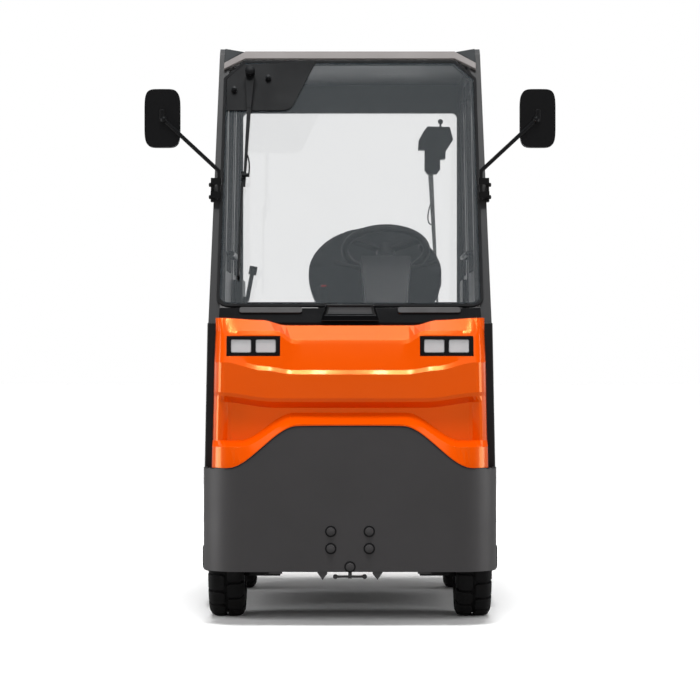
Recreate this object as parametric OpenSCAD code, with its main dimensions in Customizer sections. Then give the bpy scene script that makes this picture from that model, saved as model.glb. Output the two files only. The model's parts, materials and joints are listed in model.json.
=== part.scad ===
/* [Overall] */
// Length from the apron's face to the end of the coupling jaw
overall_length = 1850; // [1800:10:1950]
// Height to the top of the cab's side frames
overall_height = 1969; // [1940:1:2010]
// Distance between the axles
wheelbase = 1060; // [1050:5:1080]
// Apron's face to the front axle
front_overhang = 400; // [395:1:410]

/* [Wheels] */
// Tyre diameter
tyre_d = 380; // [370:2:384]
// Tyre width
tyre_w = 120; // [110:1:122]
// Distance between the tyre centres across the vehicle
track = 835; // [832:1:842]
// Diameter at which the tyre sits on its rim
rim_d = 204; // [196:1:210]
// Wall of the rim's barrel
rim_wall = 8; // [5:1:10]
// Radius of the stub axles
stub_r = 22; // [18:1:25]
// Shoulder radius of the tyre
shoulder_r = 22; // [14:1:28]

/* [Steering] */
// Distance of a king pin from the middle
king_x = 335; // [332:1:338]
// King pin radius
king_r = 13; // [10:1:15]
// Length of a knuckle's steering arm
steer_arm = 110; // [100:1:115]
// Radius of the track rod
track_rod_r = 11; // [8:1:13]
// Radius of the ball studs on the steering arms
stud_r = 9; // [7:1:10]
// Steering wheel diameter
steer_wheel_d = 320; // [300:5:340]
// Lean of the steering column from upright
column_tilt = 30; // [25:1:34]
// Steering wheel's distance from the middle
column_x = 128; // [110:1:140]
// Height of the steering wheel's hub
steer_wheel_z = 1267; // [1255:1:1290]

/* [Apron] */
// Half of the apron's width
apron_half = 486; // [480:1:488]
// Corner radius of the apron in plan
apron_corner = 135; // [125:1:145]
// Plate thickness of the apron
apron_t = 12; // [8:1:14]
// Lower edge of the apron
apron_low = 181; // [170:1:190]
// Upper edge of the apron at the middle
apron_mid_top = 659; // [650:1:665]
// Upper edge of the apron at the corners
apron_side_top = 519; // [510:1:525]
// Half width of the apron's raised middle
apron_peak = 168; // [160:1:176]
// Where the apron's upper edge runs level again
apron_foot = 404; // [396:1:410]
// Spacing of the coupling bolts across the apron
bolt_span_x = 126; // [110:1:140]
// Spacing of the coupling bolts up the apron
bolt_span_z = 56; // [50:1:64]
// Height of the bolt pattern's middle
bolt_z = 286; // [280:1:300]
// Radius of the coupling bolt holes
bolt_hole_r = 8.5; // [7:0.5:9]

/* [Nose] */
// Half width of the nose panel at its lower edge
nose_half = 457; // [452:1:460]
// How much narrower the nose panel is at its upper edge
nose_taper = 10; // [4:1:14]
// Wall of the nose panel
nose_wall = 9; // [6:1:10]
// How far the nose panel's middle stands ahead of its ends
nose_bow = 34; // [20:1:40]
// Depth of the recess beside the apron's peak
nose_recess = 34; // [20:1:40]
// Upper edge of the nose panel at the middle
nose_top = 991; // [988:1:994]
// Crease below the headlamps at the middle
nose_crease = 842; // [836:1:848]
// Lip above the recess at the middle
nose_lip = 737; // [732:1:742]
// Inner end of a headlamp frame
lamp_x0 = 231; // [226:1:236]
// Outer end of a headlamp frame
lamp_x1 = 408; // [404:1:410]
// Lower edge of a headlamp frame
lamp_z0 = 888; // [884:1:890]
// Upper edge of a headlamp frame
lamp_z1 = 954; // [950:1:956]
// Width of one lens
lens_w = 68; // [60:1:70]
// Height of one lens
lens_h = 45; // [40:1:48]

/* [Cab] */
// Half width of the cab's sides at the sill
side_x = 486; // [484:1:488]
// Lean of the cab's sides from upright
side_lean = 1.1; // [0.8:0.1:1.3]
// Thickness of the side frames and panels
slab_t = 36; // [32:1:38]
// Rake of the windscreen from upright
screen_rake = 23.9; // [23:0.1:24.5]
// Width of the windscreen's lower edge
screen_low_w = 898; // [880:1:904]
// Width of the windscreen's upper edge
screen_top_w = 882; // [866:1:888]
// Length of the windscreen up its slope
screen_l = 950; // [940:1:952]
// Thickness of the glass panes
glass_t = 6; // [4:1:7]
// Width of the seal round the windscreen
seal_w = 18; // [14:1:22]
// Width of the seal's lip beside the glass
seal_lip = 10; // [6:1:12]
// Radius of the windscreen's lower corners
screen_corner_r = 40; // [30:1:50]
// Size of the cut across the windscreen's upper corners
screen_cut = 70; // [60:1:80]
// Width of a front pillar along the vehicle
pillar_w = 60; // [54:1:66]
// Lower edge of the door windows and rear side windows
waist_z = 1190; // [1180:1:1200]
// Width of a door
door_l = 515; // [500:1:520]
// Thickness of a door
door_t = 32; // [28:1:34]
// Gap round a door
door_gap = 5.5; // [5:0.5:7]
// Radius of the hinge pins
hinge_r = 7; // [5:1:8]
// Radius of the hinge knuckles
knuckle_r = 13; // [11:1:14]
// Roof panel thickness
roof_t = 25; // [20:1:28]

/* [Mirrors] */
// Width of a mirror head
mirror_w = 121; // [110:1:130]
// Height of a mirror head
mirror_h = 199; // [180:1:210]
// Mirror head's middle from the vehicle's middle
mirror_x = 642.5; // [630:0.5:650]
// Height of a mirror head's middle
mirror_z = 1701; // [1680:1:1720]
// Radius of a mirror arm
mirror_arm_r = 7; // [5:1:8]

/* [Seat] */
// Seat's distance from the middle
seat_x = 95; // [80:1:105]
// Seat width
seat_w = 504; // [470:2:520]
// Top of the seat's backrest
seat_top = 1372; // [1350:1:1385]

/* [Rear] */
// Top of the rear side panels
tail_z = 780; // [770:1:790]
// Radius of the coupling's pin hole
jaw_r = 16; // [12:1:18]
// Gap between the coupling's jaw plates
jaw_gap = 44; // [40:1:50]
// Thickness of a jaw plate
jaw_t = 24; // [20:1:26]

/* [Hidden] */
$fn = 64;
fit = 0.3;
run_gap = 0.1;
clear_gap = 6;
front_y = -overall_length / 2;
rear_y = overall_length / 2;
front_axle_y = front_y + front_overhang;
rear_axle_y = front_axle_y + wheelbase;
axle_z = tyre_d / 2;

beam_h = 80;
beam_d = 70;
beam_half = 268;
rail_x0 = 188;
rail_w = 25;
rail_h = 100;
rail_z0 = axle_z + beam_h / 2;
floor_z0 = rail_z0 + rail_h;
floor_t = 15;
floor_top = floor_z0 + floor_t;
cross_w = 30;
bumper_t = 20;
jaw_l = 78;
flange_t = 14;
bumper_y = rear_y - jaw_l - bumper_t;
tail_t = 16;

housing_x = 214;
housing_t = 8;
housing_top = 456;
bulk_y0 = front_y + 155;
housing_y0 = bulk_y0;
arch_front_r = 250;
arch_rear_r = 220;
panel_top = 1000;
a_post_y1 = front_axle_y + arch_front_r;
a_post_w = 25;
a_post_y0 = a_post_y1 - a_post_w;
door_y0 = a_post_y1 + door_gap;
door_y1 = door_y0 + door_l;
b_post_y0 = door_y1 + door_gap;
b_post_w = 40;
b_post_y1 = b_post_y0 + b_post_w;
rear_post_w = 40;
quarter_l = 310;
rear_post_y1 = b_post_y1 + quarter_l;
rear_post_y0 = rear_post_y1 - rear_post_w;
side_z = 450;
frame_top = side_z + (overall_height - side_z) / cos(side_lean);
rail_head = 84;
door_head = frame_top - rail_head;
door_z0 = floor_top + 7;
door_z1 = door_head - door_gap;
step_x = 519;
step_z0 = 130;
step_z1 = 230;
step_y0 = a_post_y1 + 5;
step_y1 = b_post_y0 - 15;

bulk_t = 12;
cowl_foot = [bulk_y0, panel_top];
cowl_head = [bulk_y0 + 48, panel_top + 49];
screen_y = bulk_y0 + 80;
screen_z = panel_top + 50;
seal_t = 6;
screen_out = seal_t + glass_t;
leg_room = 335;
seat_box_y0 = a_post_y1 + leg_room;
seat_box_top = 705;
seat_box_t = 12;
frame_y1 = rear_post_y1 - 4;
frame_t = 32;
frame_y0 = frame_y1 - frame_t;
rear_window_half = 411;
rear_window_z0 = 1000;
roof_drop = 19;
roof_z1 = overall_height - roof_drop;
roof_z0 = roof_z1 - roof_t;
rear_header = 108;
rear_window_z1 = roof_z0 - rear_header;
hood_y0 = rear_post_y1 + 8;
hood_hinge = [rear_post_y1 + 16, tail_z + 36];
column_back = 200;
column_y = a_post_y1 + column_back;

function side_at(z) = side_x - (z - side_z) * tan(side_lean);
function inner_at(z) = side_at(z) - slab_t / cos(side_lean);
function screen_line(z) = screen_y + (z - screen_z) * tan(screen_rake);
function screen_v(z) = (z - screen_z) / cos(screen_rake);
function ramp(x, a, b) = min(1, max(0, (x - a) / (b - a)));
function smooth(x, a, b) = let (t = ramp(x, a, b)) t * t * (3 - 2 * t);
function apron_top(x) = apron_mid_top
    - (apron_mid_top - apron_side_top) * smooth(abs(x), apron_peak, apron_foot);

black = [0.07, 0.07, 0.075];
dark_grey = [0.24, 0.24, 0.24];
orange = [0.9, 0.36, 0.04];
pale_grey = [0.62, 0.6, 0.58];
steel = [0.6, 0.6, 0.6];
glass = [0.7, 0.78, 0.82, 0.45];

module both_sides() {
    children();
    mirror([1, 0, 0]) children();
}

module seen_from_side(x0, x1) {
    translate([x0, 0, 0]) rotate([90, 0, 90]) linear_extrude(x1 - x0) children();
}

module seen_from_front(y0, y1) {
    translate([0, y1, 0]) rotate([90, 0, 0]) linear_extrude(y1 - y0) children();
}

module on_screen(w0, w1) {
    translate([0, screen_y, screen_z]) rotate([90 - screen_rake, 0, 0])
        translate([0, 0, w0]) linear_extrude(w1 - w0) children();
}

module on_side() {
    translate([side_x, 0, side_z]) rotate([0, -side_lean, 0]) translate([0, 0, -side_z])
        children();
}

module on_column() {
    translate([column_x, column_y, steer_wheel_z]) rotate([-column_tilt, 0, 0]) children();
}

function oval(half, up, down, power, steps = 64) = [for (i = [0:steps - 1])
    let (c = cos(360 * i / steps), s = sin(360 * i / steps))
    [sign(c) * half * pow(abs(c), 2 / power), sign(s) * (s > 0 ? up : down) * pow(abs(s), 2 / power)]];

module round_rect(x0, y0, x1, y1, r) {
    translate([x0 + r, y0]) square([x1 - x0 - 2 * r, y1 - y0]);
    translate([x0, y0 + r]) square([x1 - x0, y1 - y0 - 2 * r]);
    for (x = [x0 + r, x1 - r], y = [y0 + r, y1 - r])
        translate([x, y]) circle(r);
}

module rod(p, q, r) {
    v = q - p;
    translate(p) rotate([0, acos(v[2] / norm(v)), atan2(v[1], v[0])])
        cylinder(h = norm(v), r = r);
}

module chassis_frame() color(dark_grey) {
    front_plate = 16;
    y0 = front_y + apron_t;
    difference() {
        union() {
            both_sides()
                translate([rail_x0, y0, rail_z0]) cube([rail_w, bumper_y - y0, rail_h]);
            for (y = [housing_y0 - cross_w, a_post_y0, seat_box_y0 + 10, bumper_y - cross_w])
                translate([-rail_x0, y, rail_z0 + 20])
                    cube([2 * rail_x0, cross_w, rail_h - 20]);
            translate([-rail_x0 - rail_w, y0, rail_z0])
                cube([2 * (rail_x0 + rail_w), front_plate, rail_h + 250]);
        }
        coupling_bolt_holes();
    }
}

module coupling_bolt_holes() {
    for (x = [-bolt_span_x / 2, bolt_span_x / 2], z = [bolt_z - bolt_span_z / 2, bolt_z + bolt_span_z / 2])
        translate([x, front_y - 1, z]) rotate([-90, 0, 0]) cylinder(h = 60, r = bolt_hole_r);
}

module floor_deck() color(black) {
    translate([0, 0, floor_z0]) linear_extrude(floor_t) union() {
        translate([-housing_x + fit, bulk_y0 + bulk_t])
            square([2 * (housing_x - fit), seat_box_y0 + seat_box_t - bulk_y0 - bulk_t]);
        translate([-inner_at(floor_z0) + fit + 1, a_post_y0])
            square([2 * (inner_at(floor_z0) - fit - 1), seat_box_y0 + seat_box_t - a_post_y0]);
    }
}

module side_steps() color(black) {
    back_x = 400;
    nose_r = 20;
    tread_x = inner_at(step_z1) + slab_t / 3;
    both_sides() seen_from_front(step_y0, step_y1) {
        polygon([[back_x, step_z0 + 2 * nose_r], [tread_x, step_z0], [step_x - nose_r, step_z0],
            [step_x, step_z0 + nose_r], [step_x, step_z1 - nose_r], [step_x - nose_r, step_z1],
            [tread_x, step_z1], [tread_x, floor_z0], [back_x, floor_z0]]);
        for (z = [step_z0 + nose_r, step_z1 - nose_r])
            translate([step_x - nose_r, z]) circle(nose_r);
    }
}

module wheel_housings() color(black) {
    depth = a_post_y0 - housing_y0;
    both_sides() {
        translate([housing_x, housing_y0, floor_z0])
            cube([housing_t, depth, housing_top - floor_z0]);
        translate([housing_x, housing_y0, housing_top - housing_t])
            cube([inner_at(housing_top) - fit - housing_x, depth, housing_t]);
        translate([housing_x, a_post_y0 - housing_t, floor_top])
            cube([inner_at(housing_top) - fit - housing_x, housing_t, housing_top - floor_top]);
    }
}

module apron_plan(inset) {
    half = apron_half - inset;
    r = apron_corner - inset;
    back = front_y + apron_corner + 20;
    translate([-(half - r), front_y + inset]) square([2 * (half - r), back - front_y - inset]);
    translate([-half, front_y + apron_corner]) square([2 * half, back - front_y - apron_corner]);
    for (s = [-1, 1])
        translate([s * (half - r), front_y + apron_corner]) circle(r);
}

module front_apron() color(dark_grey) {
    back = front_y + apron_corner + 20;
    steps = 12;
    wide = apron_half + 100;
    side = [for (i = [0:steps]) apron_peak + i * (apron_foot - apron_peak) / steps];
    top = concat([[-wide, apron_side_top]], [for (i = [steps:-1:0]) [-side[i], apron_top(side[i])]],
        [for (x = side) [x, apron_top(x)]], [[wide, apron_side_top]]);
    difference() {
        intersection() {
            translate([0, 0, apron_low]) linear_extrude(apron_mid_top - apron_low + 1)
                difference() {
                    apron_plan(0);
                    apron_plan(apron_t);
                    translate([-wide, back - 0.5]) square([2 * wide, 300]);
                }
            seen_from_front(front_y - 5, back + 5)
                polygon(concat([[wide, apron_low - 5], [-wide, apron_low - 5]], top));
        }
        coupling_bolt_holes();
    }
    both_sides() seen_from_front(front_y + 2, front_y + apron_t) {
        polygon([[74, apron_low + 5], [74, apron_low - 6], [90, apron_low - 26], [107, apron_low - 2],
            [107, apron_low + 5]]);
        translate([lug_x, apron_low - 6]) square([lug_w, 11]);
    }
    apron_catch();
}

module apron_catch() {
    y = front_y + apron_t + catch_r / 2;
    rod([0, y, catch_z - 6], [0, y, apron_low + 20], catch_r);
    rod([-catch_half, y, catch_z], [catch_half, y, catch_z], catch_r - 2);
    for (x = [-catch_half, catch_half]) translate([x, y, catch_z]) sphere(catch_r + 2);
}

lug_x = 222;
lug_w = 44;
catch_r = 6;
catch_z = apron_low - 16;
catch_half = 48;

function nose_hug(x) = let (r = apron_corner - apron_t - 4, c = apron_half - apron_corner)
    abs(x) < c ? apron_t + 4 : apron_corner - sqrt(r * r - pow(abs(x) - c, 2));
// Creases of the nose from the top flange down: 1 flange edge, 2 and 3 bevel above the lamps,
// 4 and 5 crease below the lamps, 6 and 7 lip, 8 and 9 recess, 10 to 12 rim along the apron
function nose_row(k, a) = let (
    bow = nose_bow * pow(a / nose_half, 2),
    open = 1 - smooth(a, 396, 445),
    corner = 40 * pow(ramp(a, nose_half - 40, nose_half), 3))
    k == 0 ? [155, nose_top + 18 * smooth(a, 215, 300) + 7 * smooth(a, 300, 440)] :
    k == 1 ? [126 + bow * 0.4, nose_top - 2 + 18 * smooth(a, 215, 300) + 7 * smooth(a, 300, 440)] :
    k == 2 ? [82 + bow + corner, nose_top - 50 + 31 * smooth(a, 185, 250)] :
    k == 3 ? [74 + bow + corner, nose_top - 64 + 31 * smooth(a, 185, 250)] :
    k == 4 ? [40 + bow + corner, nose_crease + 13 * smooth(a, 190, 290) + 30 * smooth(a, 290, 420)] :
    k == 5 ? [31 + bow + corner, nose_crease - 14 + 13 * smooth(a, 190, 290) + 26 * smooth(a, 290, 420)] :
    k == 6 ? [35 + bow + corner, nose_lip + 12 + 20 * smooth(a, 250, 440)] :
    k == 7 ? [41 + bow + corner, nose_lip + 20 * smooth(a, 250, 440)] :
    k == 8 ? [41 + nose_recess * open + bow + corner, nose_lip - 20 + 20 * smooth(a, 250, 440)] :
    k == 9 ? [41 + nose_recess * open + bow + corner,
        nose_lip - 36 - 92 * smooth(a, 186, 368)] :
    k == 10 ? [max(26, nose_hug(a)) + 4 + 8 * open, nose_lip - 62 - 86 * smooth(a, 182, 360)] :
    k == 11 ? [nose_hug(a) + 4, apron_top(a) + 6] :
    [nose_hug(a) + 2, apron_top(a) - 16];
nose_columns = [0, 60, 95, 130, 160, 182, 200, 218, 236, 254, 272, 290, 308, 326, 344, 362, 380,
    396, 408, 420, 432, 440, 448, 453];
nose_rows = 13;

module front_panel_shell() {
    half = concat(nose_columns, [nose_half]);
    n = len(half);
    xs = concat([for (i = [n - 1:-1:1]) -half[i]], half);
    m = len(xs) + 2;
    rim_y = 155;
    function at(k, i, back) = let (
        j = min(max(i - 1, 0), len(xs) - 1),
        x = xs[j],
        p = nose_row(k, abs(x)),
        end = i == 0 || i == m - 1,
        narrow = 1 - nose_taper / nose_half * ramp(p[1], apron_side_top, nose_top),
        inset = back ? (nose_half - nose_wall) / nose_half : 1,
        y = end || k == 0 ? rim_y : p[0] + (back ? nose_wall : 0),
        z = p[1] - (back && k < 2 ? nose_wall : 0))
        [x * narrow * inset, front_y + min(y, rim_y), z];
    count = nose_rows * m;
    points = concat([for (k = [0:nose_rows - 1], i = [0:m - 1]) at(k, i, false)],
        [for (k = [0:nose_rows - 1], i = [0:m - 1]) at(k, i, true)]);
    function quad(a, b, c, d) = [[a, b, c], [a, c, d]];
    front = [for (k = [0:nose_rows - 2], i = [0:m - 2])
        each quad(k * m + i, k * m + i + 1, (k + 1) * m + i + 1, (k + 1) * m + i)];
    rear = [for (f = front) [f[2] + count, f[1] + count, f[0] + count]];
    top = [for (i = [0:m - 2]) each quad(i + 1, i, count + i, count + i + 1)];
    low = let (b = (nose_rows - 1) * m)
        [for (i = [0:m - 2]) each quad(b + i, b + i + 1, count + b + i + 1, count + b + i)];
    left = [for (k = [0:nose_rows - 2])
        each quad(k * m, (k + 1) * m, count + (k + 1) * m, count + k * m)];
    right = [for (k = [0:nose_rows - 2]) let (a = k * m + m - 1)
        each quad(a + m, a, count + a, count + a + m)];
    polyhedron(points, concat(front, rear, top, low, left, right));
}

module front_panel() color(orange) {
    difference() {
        front_panel_shell();
        both_sides()
            translate([lamp_x0 - fit, front_y, lamp_z0 - fit])
                cube([lamp_x1 - lamp_x0 + 2 * fit, 150, lamp_z1 - lamp_z0 + 2 * fit]);
        nose_notch();
    }
}

module nose_notch() {
    edge = [nose_row(1, 0), nose_row(2, 0)];
    slope = (edge[0] - edge[1]) / norm(edge[0] - edge[1]);
    inward = [slope[1], -slope[0]] * notch_depth;
    floor = [for (p = edge) p + inward + [front_y, 0]];
    ahead = front_y - 10;
    intersection() {
        seen_from_front(ahead, front_y + 150)
            polygon([[-notch_half, notch_z], [notch_half, notch_z], [notch_half + 34, nose_top + 9],
                [-notch_half - 34, nose_top + 9]]);
        seen_from_side(-notch_half - 40, notch_half + 40)
            polygon([floor[0] + 20 * slope, floor[1], [ahead, floor[1][1]], [ahead, nose_top + 20]]);
    }
}

notch_depth = 4;
notch_half = 83;
notch_z = nose_top - 35;

lamp_y = front_y + 80;
lens_gap = (lamp_x1 - lamp_x0 - 2 * lens_w) / 3;
lens_z0 = (lamp_z0 + lamp_z1 - lens_h) / 2;

module lens_shape(i, grow) {
    x = lamp_x0 + lens_gap + i * (lens_w + lens_gap);
    round_rect(x - grow, lens_z0 - grow, x + lens_w + grow, lens_z0 + lens_h + grow, 6);
}

module headlamp_frames() color(black) {
    both_sides() difference() {
        seen_from_front(lamp_y, lamp_y + 60)
            round_rect(lamp_x0, lamp_z0, lamp_x1, lamp_z1, 10);
        seen_from_front(lamp_y - 1, lamp_y + 20) {
            lens_shape(0, fit);
            lens_shape(1, fit);
        }
    }
}

module headlamp_lenses() color(pale_grey) {
    both_sides() seen_from_front(lamp_y + 5, lamp_y + 20) {
        lens_shape(0, 0);
        lens_shape(1, 0);
    }
}

module front_side_panels() color(black) {
    both_sides() on_side() seen_from_side(-slab_t, 0) difference() {
        polygon([[housing_y0, 330], [housing_y0, panel_top], [a_post_y0, panel_top],
            [a_post_y0, 330]]);
        translate([front_axle_y, axle_z]) circle(arch_front_r);
    }
}

module dashboard() color(black) {
    half = inner_at(panel_top) - 2;
    translate([-half, bulk_y0, housing_top]) cube([2 * half, bulk_t, panel_top - 15 - housing_top]);
    translate([-housing_x + fit, bulk_y0, floor_z0])
        cube([2 * (housing_x - fit), bulk_t, housing_top - floor_z0 + 5]);
    seen_from_side(-half, half)
        polygon([[bulk_y0 + 5, 800], [bulk_y0 + 5, panel_top - 15], [bulk_y0 + 60, panel_top + 25],
            [bulk_y0 + 190, panel_top + 15], [bulk_y0 + 230, panel_top - 35],
            [bulk_y0 + 205, 830], [bulk_y0 + 120, 800]]);
}

module cowl() color(black) {
    half = inner_at(panel_top) - 2;
    seen_from_side(-half, half)
        polygon([[bulk_y0, panel_top - 15 + fit], cowl_foot, cowl_head,
            [cowl_head[0] + 16, cowl_head[1]], [screen_y + 6, panel_top + 38],
            [screen_y + 40, panel_top + 38], [screen_y + 40, panel_top + 30],
            [bulk_y0 + 58, panel_top + 26], [bulk_y0 + 4, panel_top - 15 + fit]]);
}

module cowl_lamp() color(black) {
    low = 97;
    high = 81;
    z0 = panel_top + 4;
    z1 = panel_top + 59;
    difference() {
        intersection() {
            seen_from_side(-low, low)
                polygon([[bulk_y0 - 26, z0], [bulk_y0 - 18, z1], [cowl_head[0], z1],
                    [cowl_head[0], cowl_head[1] + fit], [bulk_y0 + fit, cowl_foot[1] + 2 * fit],
                    [bulk_y0, z0]]);
            seen_from_front(bulk_y0 - 30, cowl_head[0] + 1)
                polygon([[-low, z0], [low, z0], [high, z1], [-high, z1]]);
        }
        seen_from_front(bulk_y0 - 40, bulk_y0 - 14)
            polygon([[-low + 14, z0 + 20], [low - 14, z0 + 20], [high - 7, z1 - 6], [-high + 7, z1 - 6]]);
    }
}

module screen_clamps() color([0.3, 0.28, 0.27]) {
    slope = (cowl_head - cowl_foot) / norm(cowl_head - cowl_foot);
    out = [-slope[1], slope[0]];
    a = cowl_head - 28 * slope + fit * out;
    b = cowl_head - 1 * slope + fit * out;
    both_sides() seen_from_side(160, 370) polygon([a, b, b + 6 * out, a + 6 * out]);
}

module side_frames() color(black) {
    quarter_z0 = panel_top + 60;
    quarter_y1 = a_post_y0 - 18;
    quarter_z1 = screen_z + (quarter_y1 - pillar_w - screen_y) / tan(screen_rake);
    knee = frame_top - 24;
    both_sides() {
        on_side() seen_from_side(-slab_t, 0) difference() {
            polygon([[screen_line(panel_top), panel_top], [screen_line(knee), knee],
                [screen_line(knee) + 34, frame_top], [rear_post_y1 - 30, frame_top],
                [rear_post_y1, frame_top - 30], [rear_post_y1, tail_z], [b_post_y1, tail_z],
                [b_post_y1, floor_top], [b_post_y0, floor_top], [b_post_y0, door_head],
                [a_post_y1, door_head], [a_post_y1, floor_top], [a_post_y0, floor_top],
                [a_post_y0, panel_top]]);
            polygon([[screen_line(quarter_z0) + pillar_w, quarter_z0], [quarter_y1, quarter_z0],
                [quarter_y1, quarter_z1]]);
            round_rect(b_post_y1 + 18, waist_z, rear_post_y0 - 15, door_head - 30, 24);
        }
        on_side() for (z = hinge_zs) hinge_fixed(z);
    }
}

hinge_x = knuckle_r + 2;
hinge_y = (door_y1 + b_post_y0) / 2;
hinge_low = 268;
hinge_high = 180;
hinge_z0 = door_z0 + hinge_low;
hinge_z1 = door_z1 - hinge_high;
hinge_zs = [hinge_z0, (hinge_z0 + hinge_z1) / 2, hinge_z1];
hinge_h = 44;

module hinge_fixed(z) {
    translate([hinge_x, hinge_y, z - hinge_h]) cylinder(h = hinge_h, r = knuckle_r);
    translate([hinge_x, hinge_y, z - 1]) cylinder(h = hinge_h + 1, r = hinge_r);
    translate([0, hinge_y, z - hinge_h]) cube([hinge_x, 34, hinge_h]);
}

module hinge_moving(z) {
    difference() {
        union() {
            translate([hinge_x, hinge_y, z + 0.5]) cylinder(h = hinge_h - 2, r = knuckle_r);
            translate([-4, hinge_y - 34, z + 0.5]) cube([hinge_x + 4, 34, hinge_h - 2]);
        }
        translate([hinge_x, hinge_y, z - 2]) cylinder(h = hinge_h + 4, r = hinge_r + run_gap);
        translate([-10, door_y1, z - 2]) cube([10, 40, hinge_h + 4]);
    }
}

module side_windows() color(glass) {
    quarter_z0 = panel_top + 60;
    quarter_y1 = a_post_y0 - 18;
    quarter_z1 = screen_z + (quarter_y1 - pillar_w - screen_y) / tan(screen_rake);
    x0 = -slab_t / 2 - glass_t / 2;
    both_sides() on_side() {
        seen_from_side(x0, x0 + glass_t)
            polygon([[screen_line(quarter_z0) + pillar_w + 2 * fit, quarter_z0 + fit],
                [quarter_y1 - fit, quarter_z0 + fit], [quarter_y1 - fit, quarter_z1 - 3 * fit]]);
        seen_from_side(x0, x0 + glass_t)
            round_rect(b_post_y1 + 18 + fit, waist_z + fit, rear_post_y0 - 15 - fit,
                door_head - 30 - fit, 24 - fit);
    }
}

beam_end = screen_top_w / 2;
beam_bend = beam_end - 74;
beam_v0 = screen_l + 7;
beam_v1 = beam_v0 + 29;
beam_t = 14;
beam_drop = 42;
gusset_t = 10;

module roof_panel() color(dark_grey) {
    half = inner_at(roof_z0 + roof_t) - fit;
    seen_from_side(-half, half)
        polygon([[screen_line(roof_z0) + fit, roof_z0], [screen_line(roof_z1) + fit, roof_z1],
            [rear_post_y1 - 6, roof_z1], [rear_post_y1 - 6, roof_z0]]);
    both_sides() on_screen(0, gusset_t)
        polygon([[beam_bend + 4, beam_v1], [beam_end, beam_v1 - 45], [beam_end - 3, beam_v1 + 13]]);
}

module screen_outline(inset) {
    low = screen_low_w / 2 - inset;
    top = screen_top_w / 2 - inset;
    cut = screen_cut - inset * tan(22.5);
    r = screen_corner_r - inset;
    corner = [for (a = [0:15:90]) [low - r + r * sin(a), inset + r - r * cos(a)]];
    half = concat(corner, [[top, screen_l - inset - cut], [top - cut, screen_l - inset]]);
    polygon(concat(half, [for (i = [len(half) - 1:-1:0]) [-half[i][0], half[i][1]]]));
}

module windscreen_seal() color(black) {
    on_screen(0, seal_t) difference() {
        screen_outline(0);
        screen_outline(seal_w);
    }
    on_screen(0, screen_out) difference() {
        screen_outline(0);
        screen_outline(seal_lip);
    }
}

module windscreen() color(glass) {
    on_screen(seal_t, screen_out) screen_outline(seal_lip + fit);
}

module roof_beam() color(pale_grey) {
    on_screen(0, beam_t)
        polygon([[-beam_bend, beam_v0], [beam_bend, beam_v0], [beam_end, beam_v0 - beam_drop],
            [beam_end, beam_v1 - beam_drop - 4], [beam_bend, beam_v1], [-beam_bend, beam_v1],
            [-beam_end, beam_v1 - beam_drop - 4], [-beam_end, beam_v0 - beam_drop]]);
}

module wiper_plate() color(black) {
    on_screen(screen_out, screen_out + 4)
        polygon([[-431, screen_l - 78], [-372, screen_l - 18], [-118, screen_l - 5],
            [-198, screen_l - 182], [-212, screen_l - 197], [-235, screen_l - 202],
            [-430, screen_l - 202]]);
}

module wipers() color(black) {
    w = screen_out + 4;
    on_screen(w, w + 16) translate([-348, 886]) circle(15);
    on_screen(w + 16, w + 26)
        polygon([[-364, 886], [-356, 904], [-340, 904], [-332, 886], [-343, 745], [-357, 745]]);
    on_screen(w + 17, w + 25)
        polygon([[-357, 746], [-343, 746], [-358, 440], [-366, 440]]);
    on_screen(screen_out + fit, w + 18)
        polygon([[-372, 500], [-364, 500], [-373, 104], [-381, 104]]);
    rear_wiper();
}

module rear_wiper() {
    y0 = (frame_y0 + frame_y1 - glass_t) / 2;
    case_d = 52;
    top = rear_window_z1 - 54;
    knob = [347, y0 - case_d / 2, top + 20];
    seen_from_front(y0 - case_d, y0 - fit)
        polygon([[297, top], [382, top - 2], [395, top - 50], [366, top - 96], [365, top - 124],
            [345, top - 126], [345, top - 165], [332, top - 182], [297, top - 182], [286, top - 167],
            [286, top - 90], [261, top - 90], [263, top - 53], [282, top - 19]]);
    translate([knob[0], knob[1], top - 4]) cylinder(h = knob[2] - top + 4, r = 4);
    translate(knob) sphere(10);
    seen_from_front(y0 + glass_t + fit, y0 + glass_t + 12)
        polygon([[298, top - 130], [318, top - 130], [341, rear_window_z0 + 80],
            [333, rear_window_z0 + 80]]);
}

module rear_frame_shape(z0, z1) {
    polygon([[-inner_at(z0) + fit, z0], [inner_at(z0) - fit, z0], [inner_at(z1) - fit, z1],
        [-inner_at(z1) + fit, z1]]);
}

module rear_frame() color(black) {
    seen_from_front(frame_y0, frame_y1) difference() {
        rear_frame_shape(seat_box_top, roof_z0);
        round_rect(-rear_window_half, rear_window_z0, rear_window_half, rear_window_z1, 20);
    }
    both_sides() {
        translate([250, frame_y1 - 1, hood_hinge[1] - 9])
            cube([20, hood_hinge[0] - frame_y1 + 1, 18]);
        translate([250, hood_hinge[0], hood_hinge[1]]) rotate([0, 90, 0])
            cylinder(h = 20, r = 9);
        translate([250, hood_hinge[0], hood_hinge[1]]) rotate([0, 90, 0])
            cylinder(h = 52, r = hinge_r - 2);
    }
}

module rear_window() color(glass) {
    y0 = (frame_y0 + frame_y1 - glass_t) / 2;
    seen_from_front(y0, y0 + glass_t)
        round_rect(-rear_window_half + fit, rear_window_z0 + fit, rear_window_half - fit,
            rear_window_z1 - fit, 20 - fit);
}

bracket_z0 = 1416;
bracket_h = 80;
bracket_t = 9;
bracket_l = 60;
bracket_lap = 6;
clamp_h = 22;
clamp_in = 27;
clamp_d = 10;
clamp_low = 12;
mirror_depth = 42;
mirror_rim = 8;
mirror_arm_y = screen_line(bracket_z0) - 20;
mirror_foot_x = side_at(bracket_z0 + bracket_h) - 18;
mirror_face_y = mirror_arm_y + 4 + mirror_depth;

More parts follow.
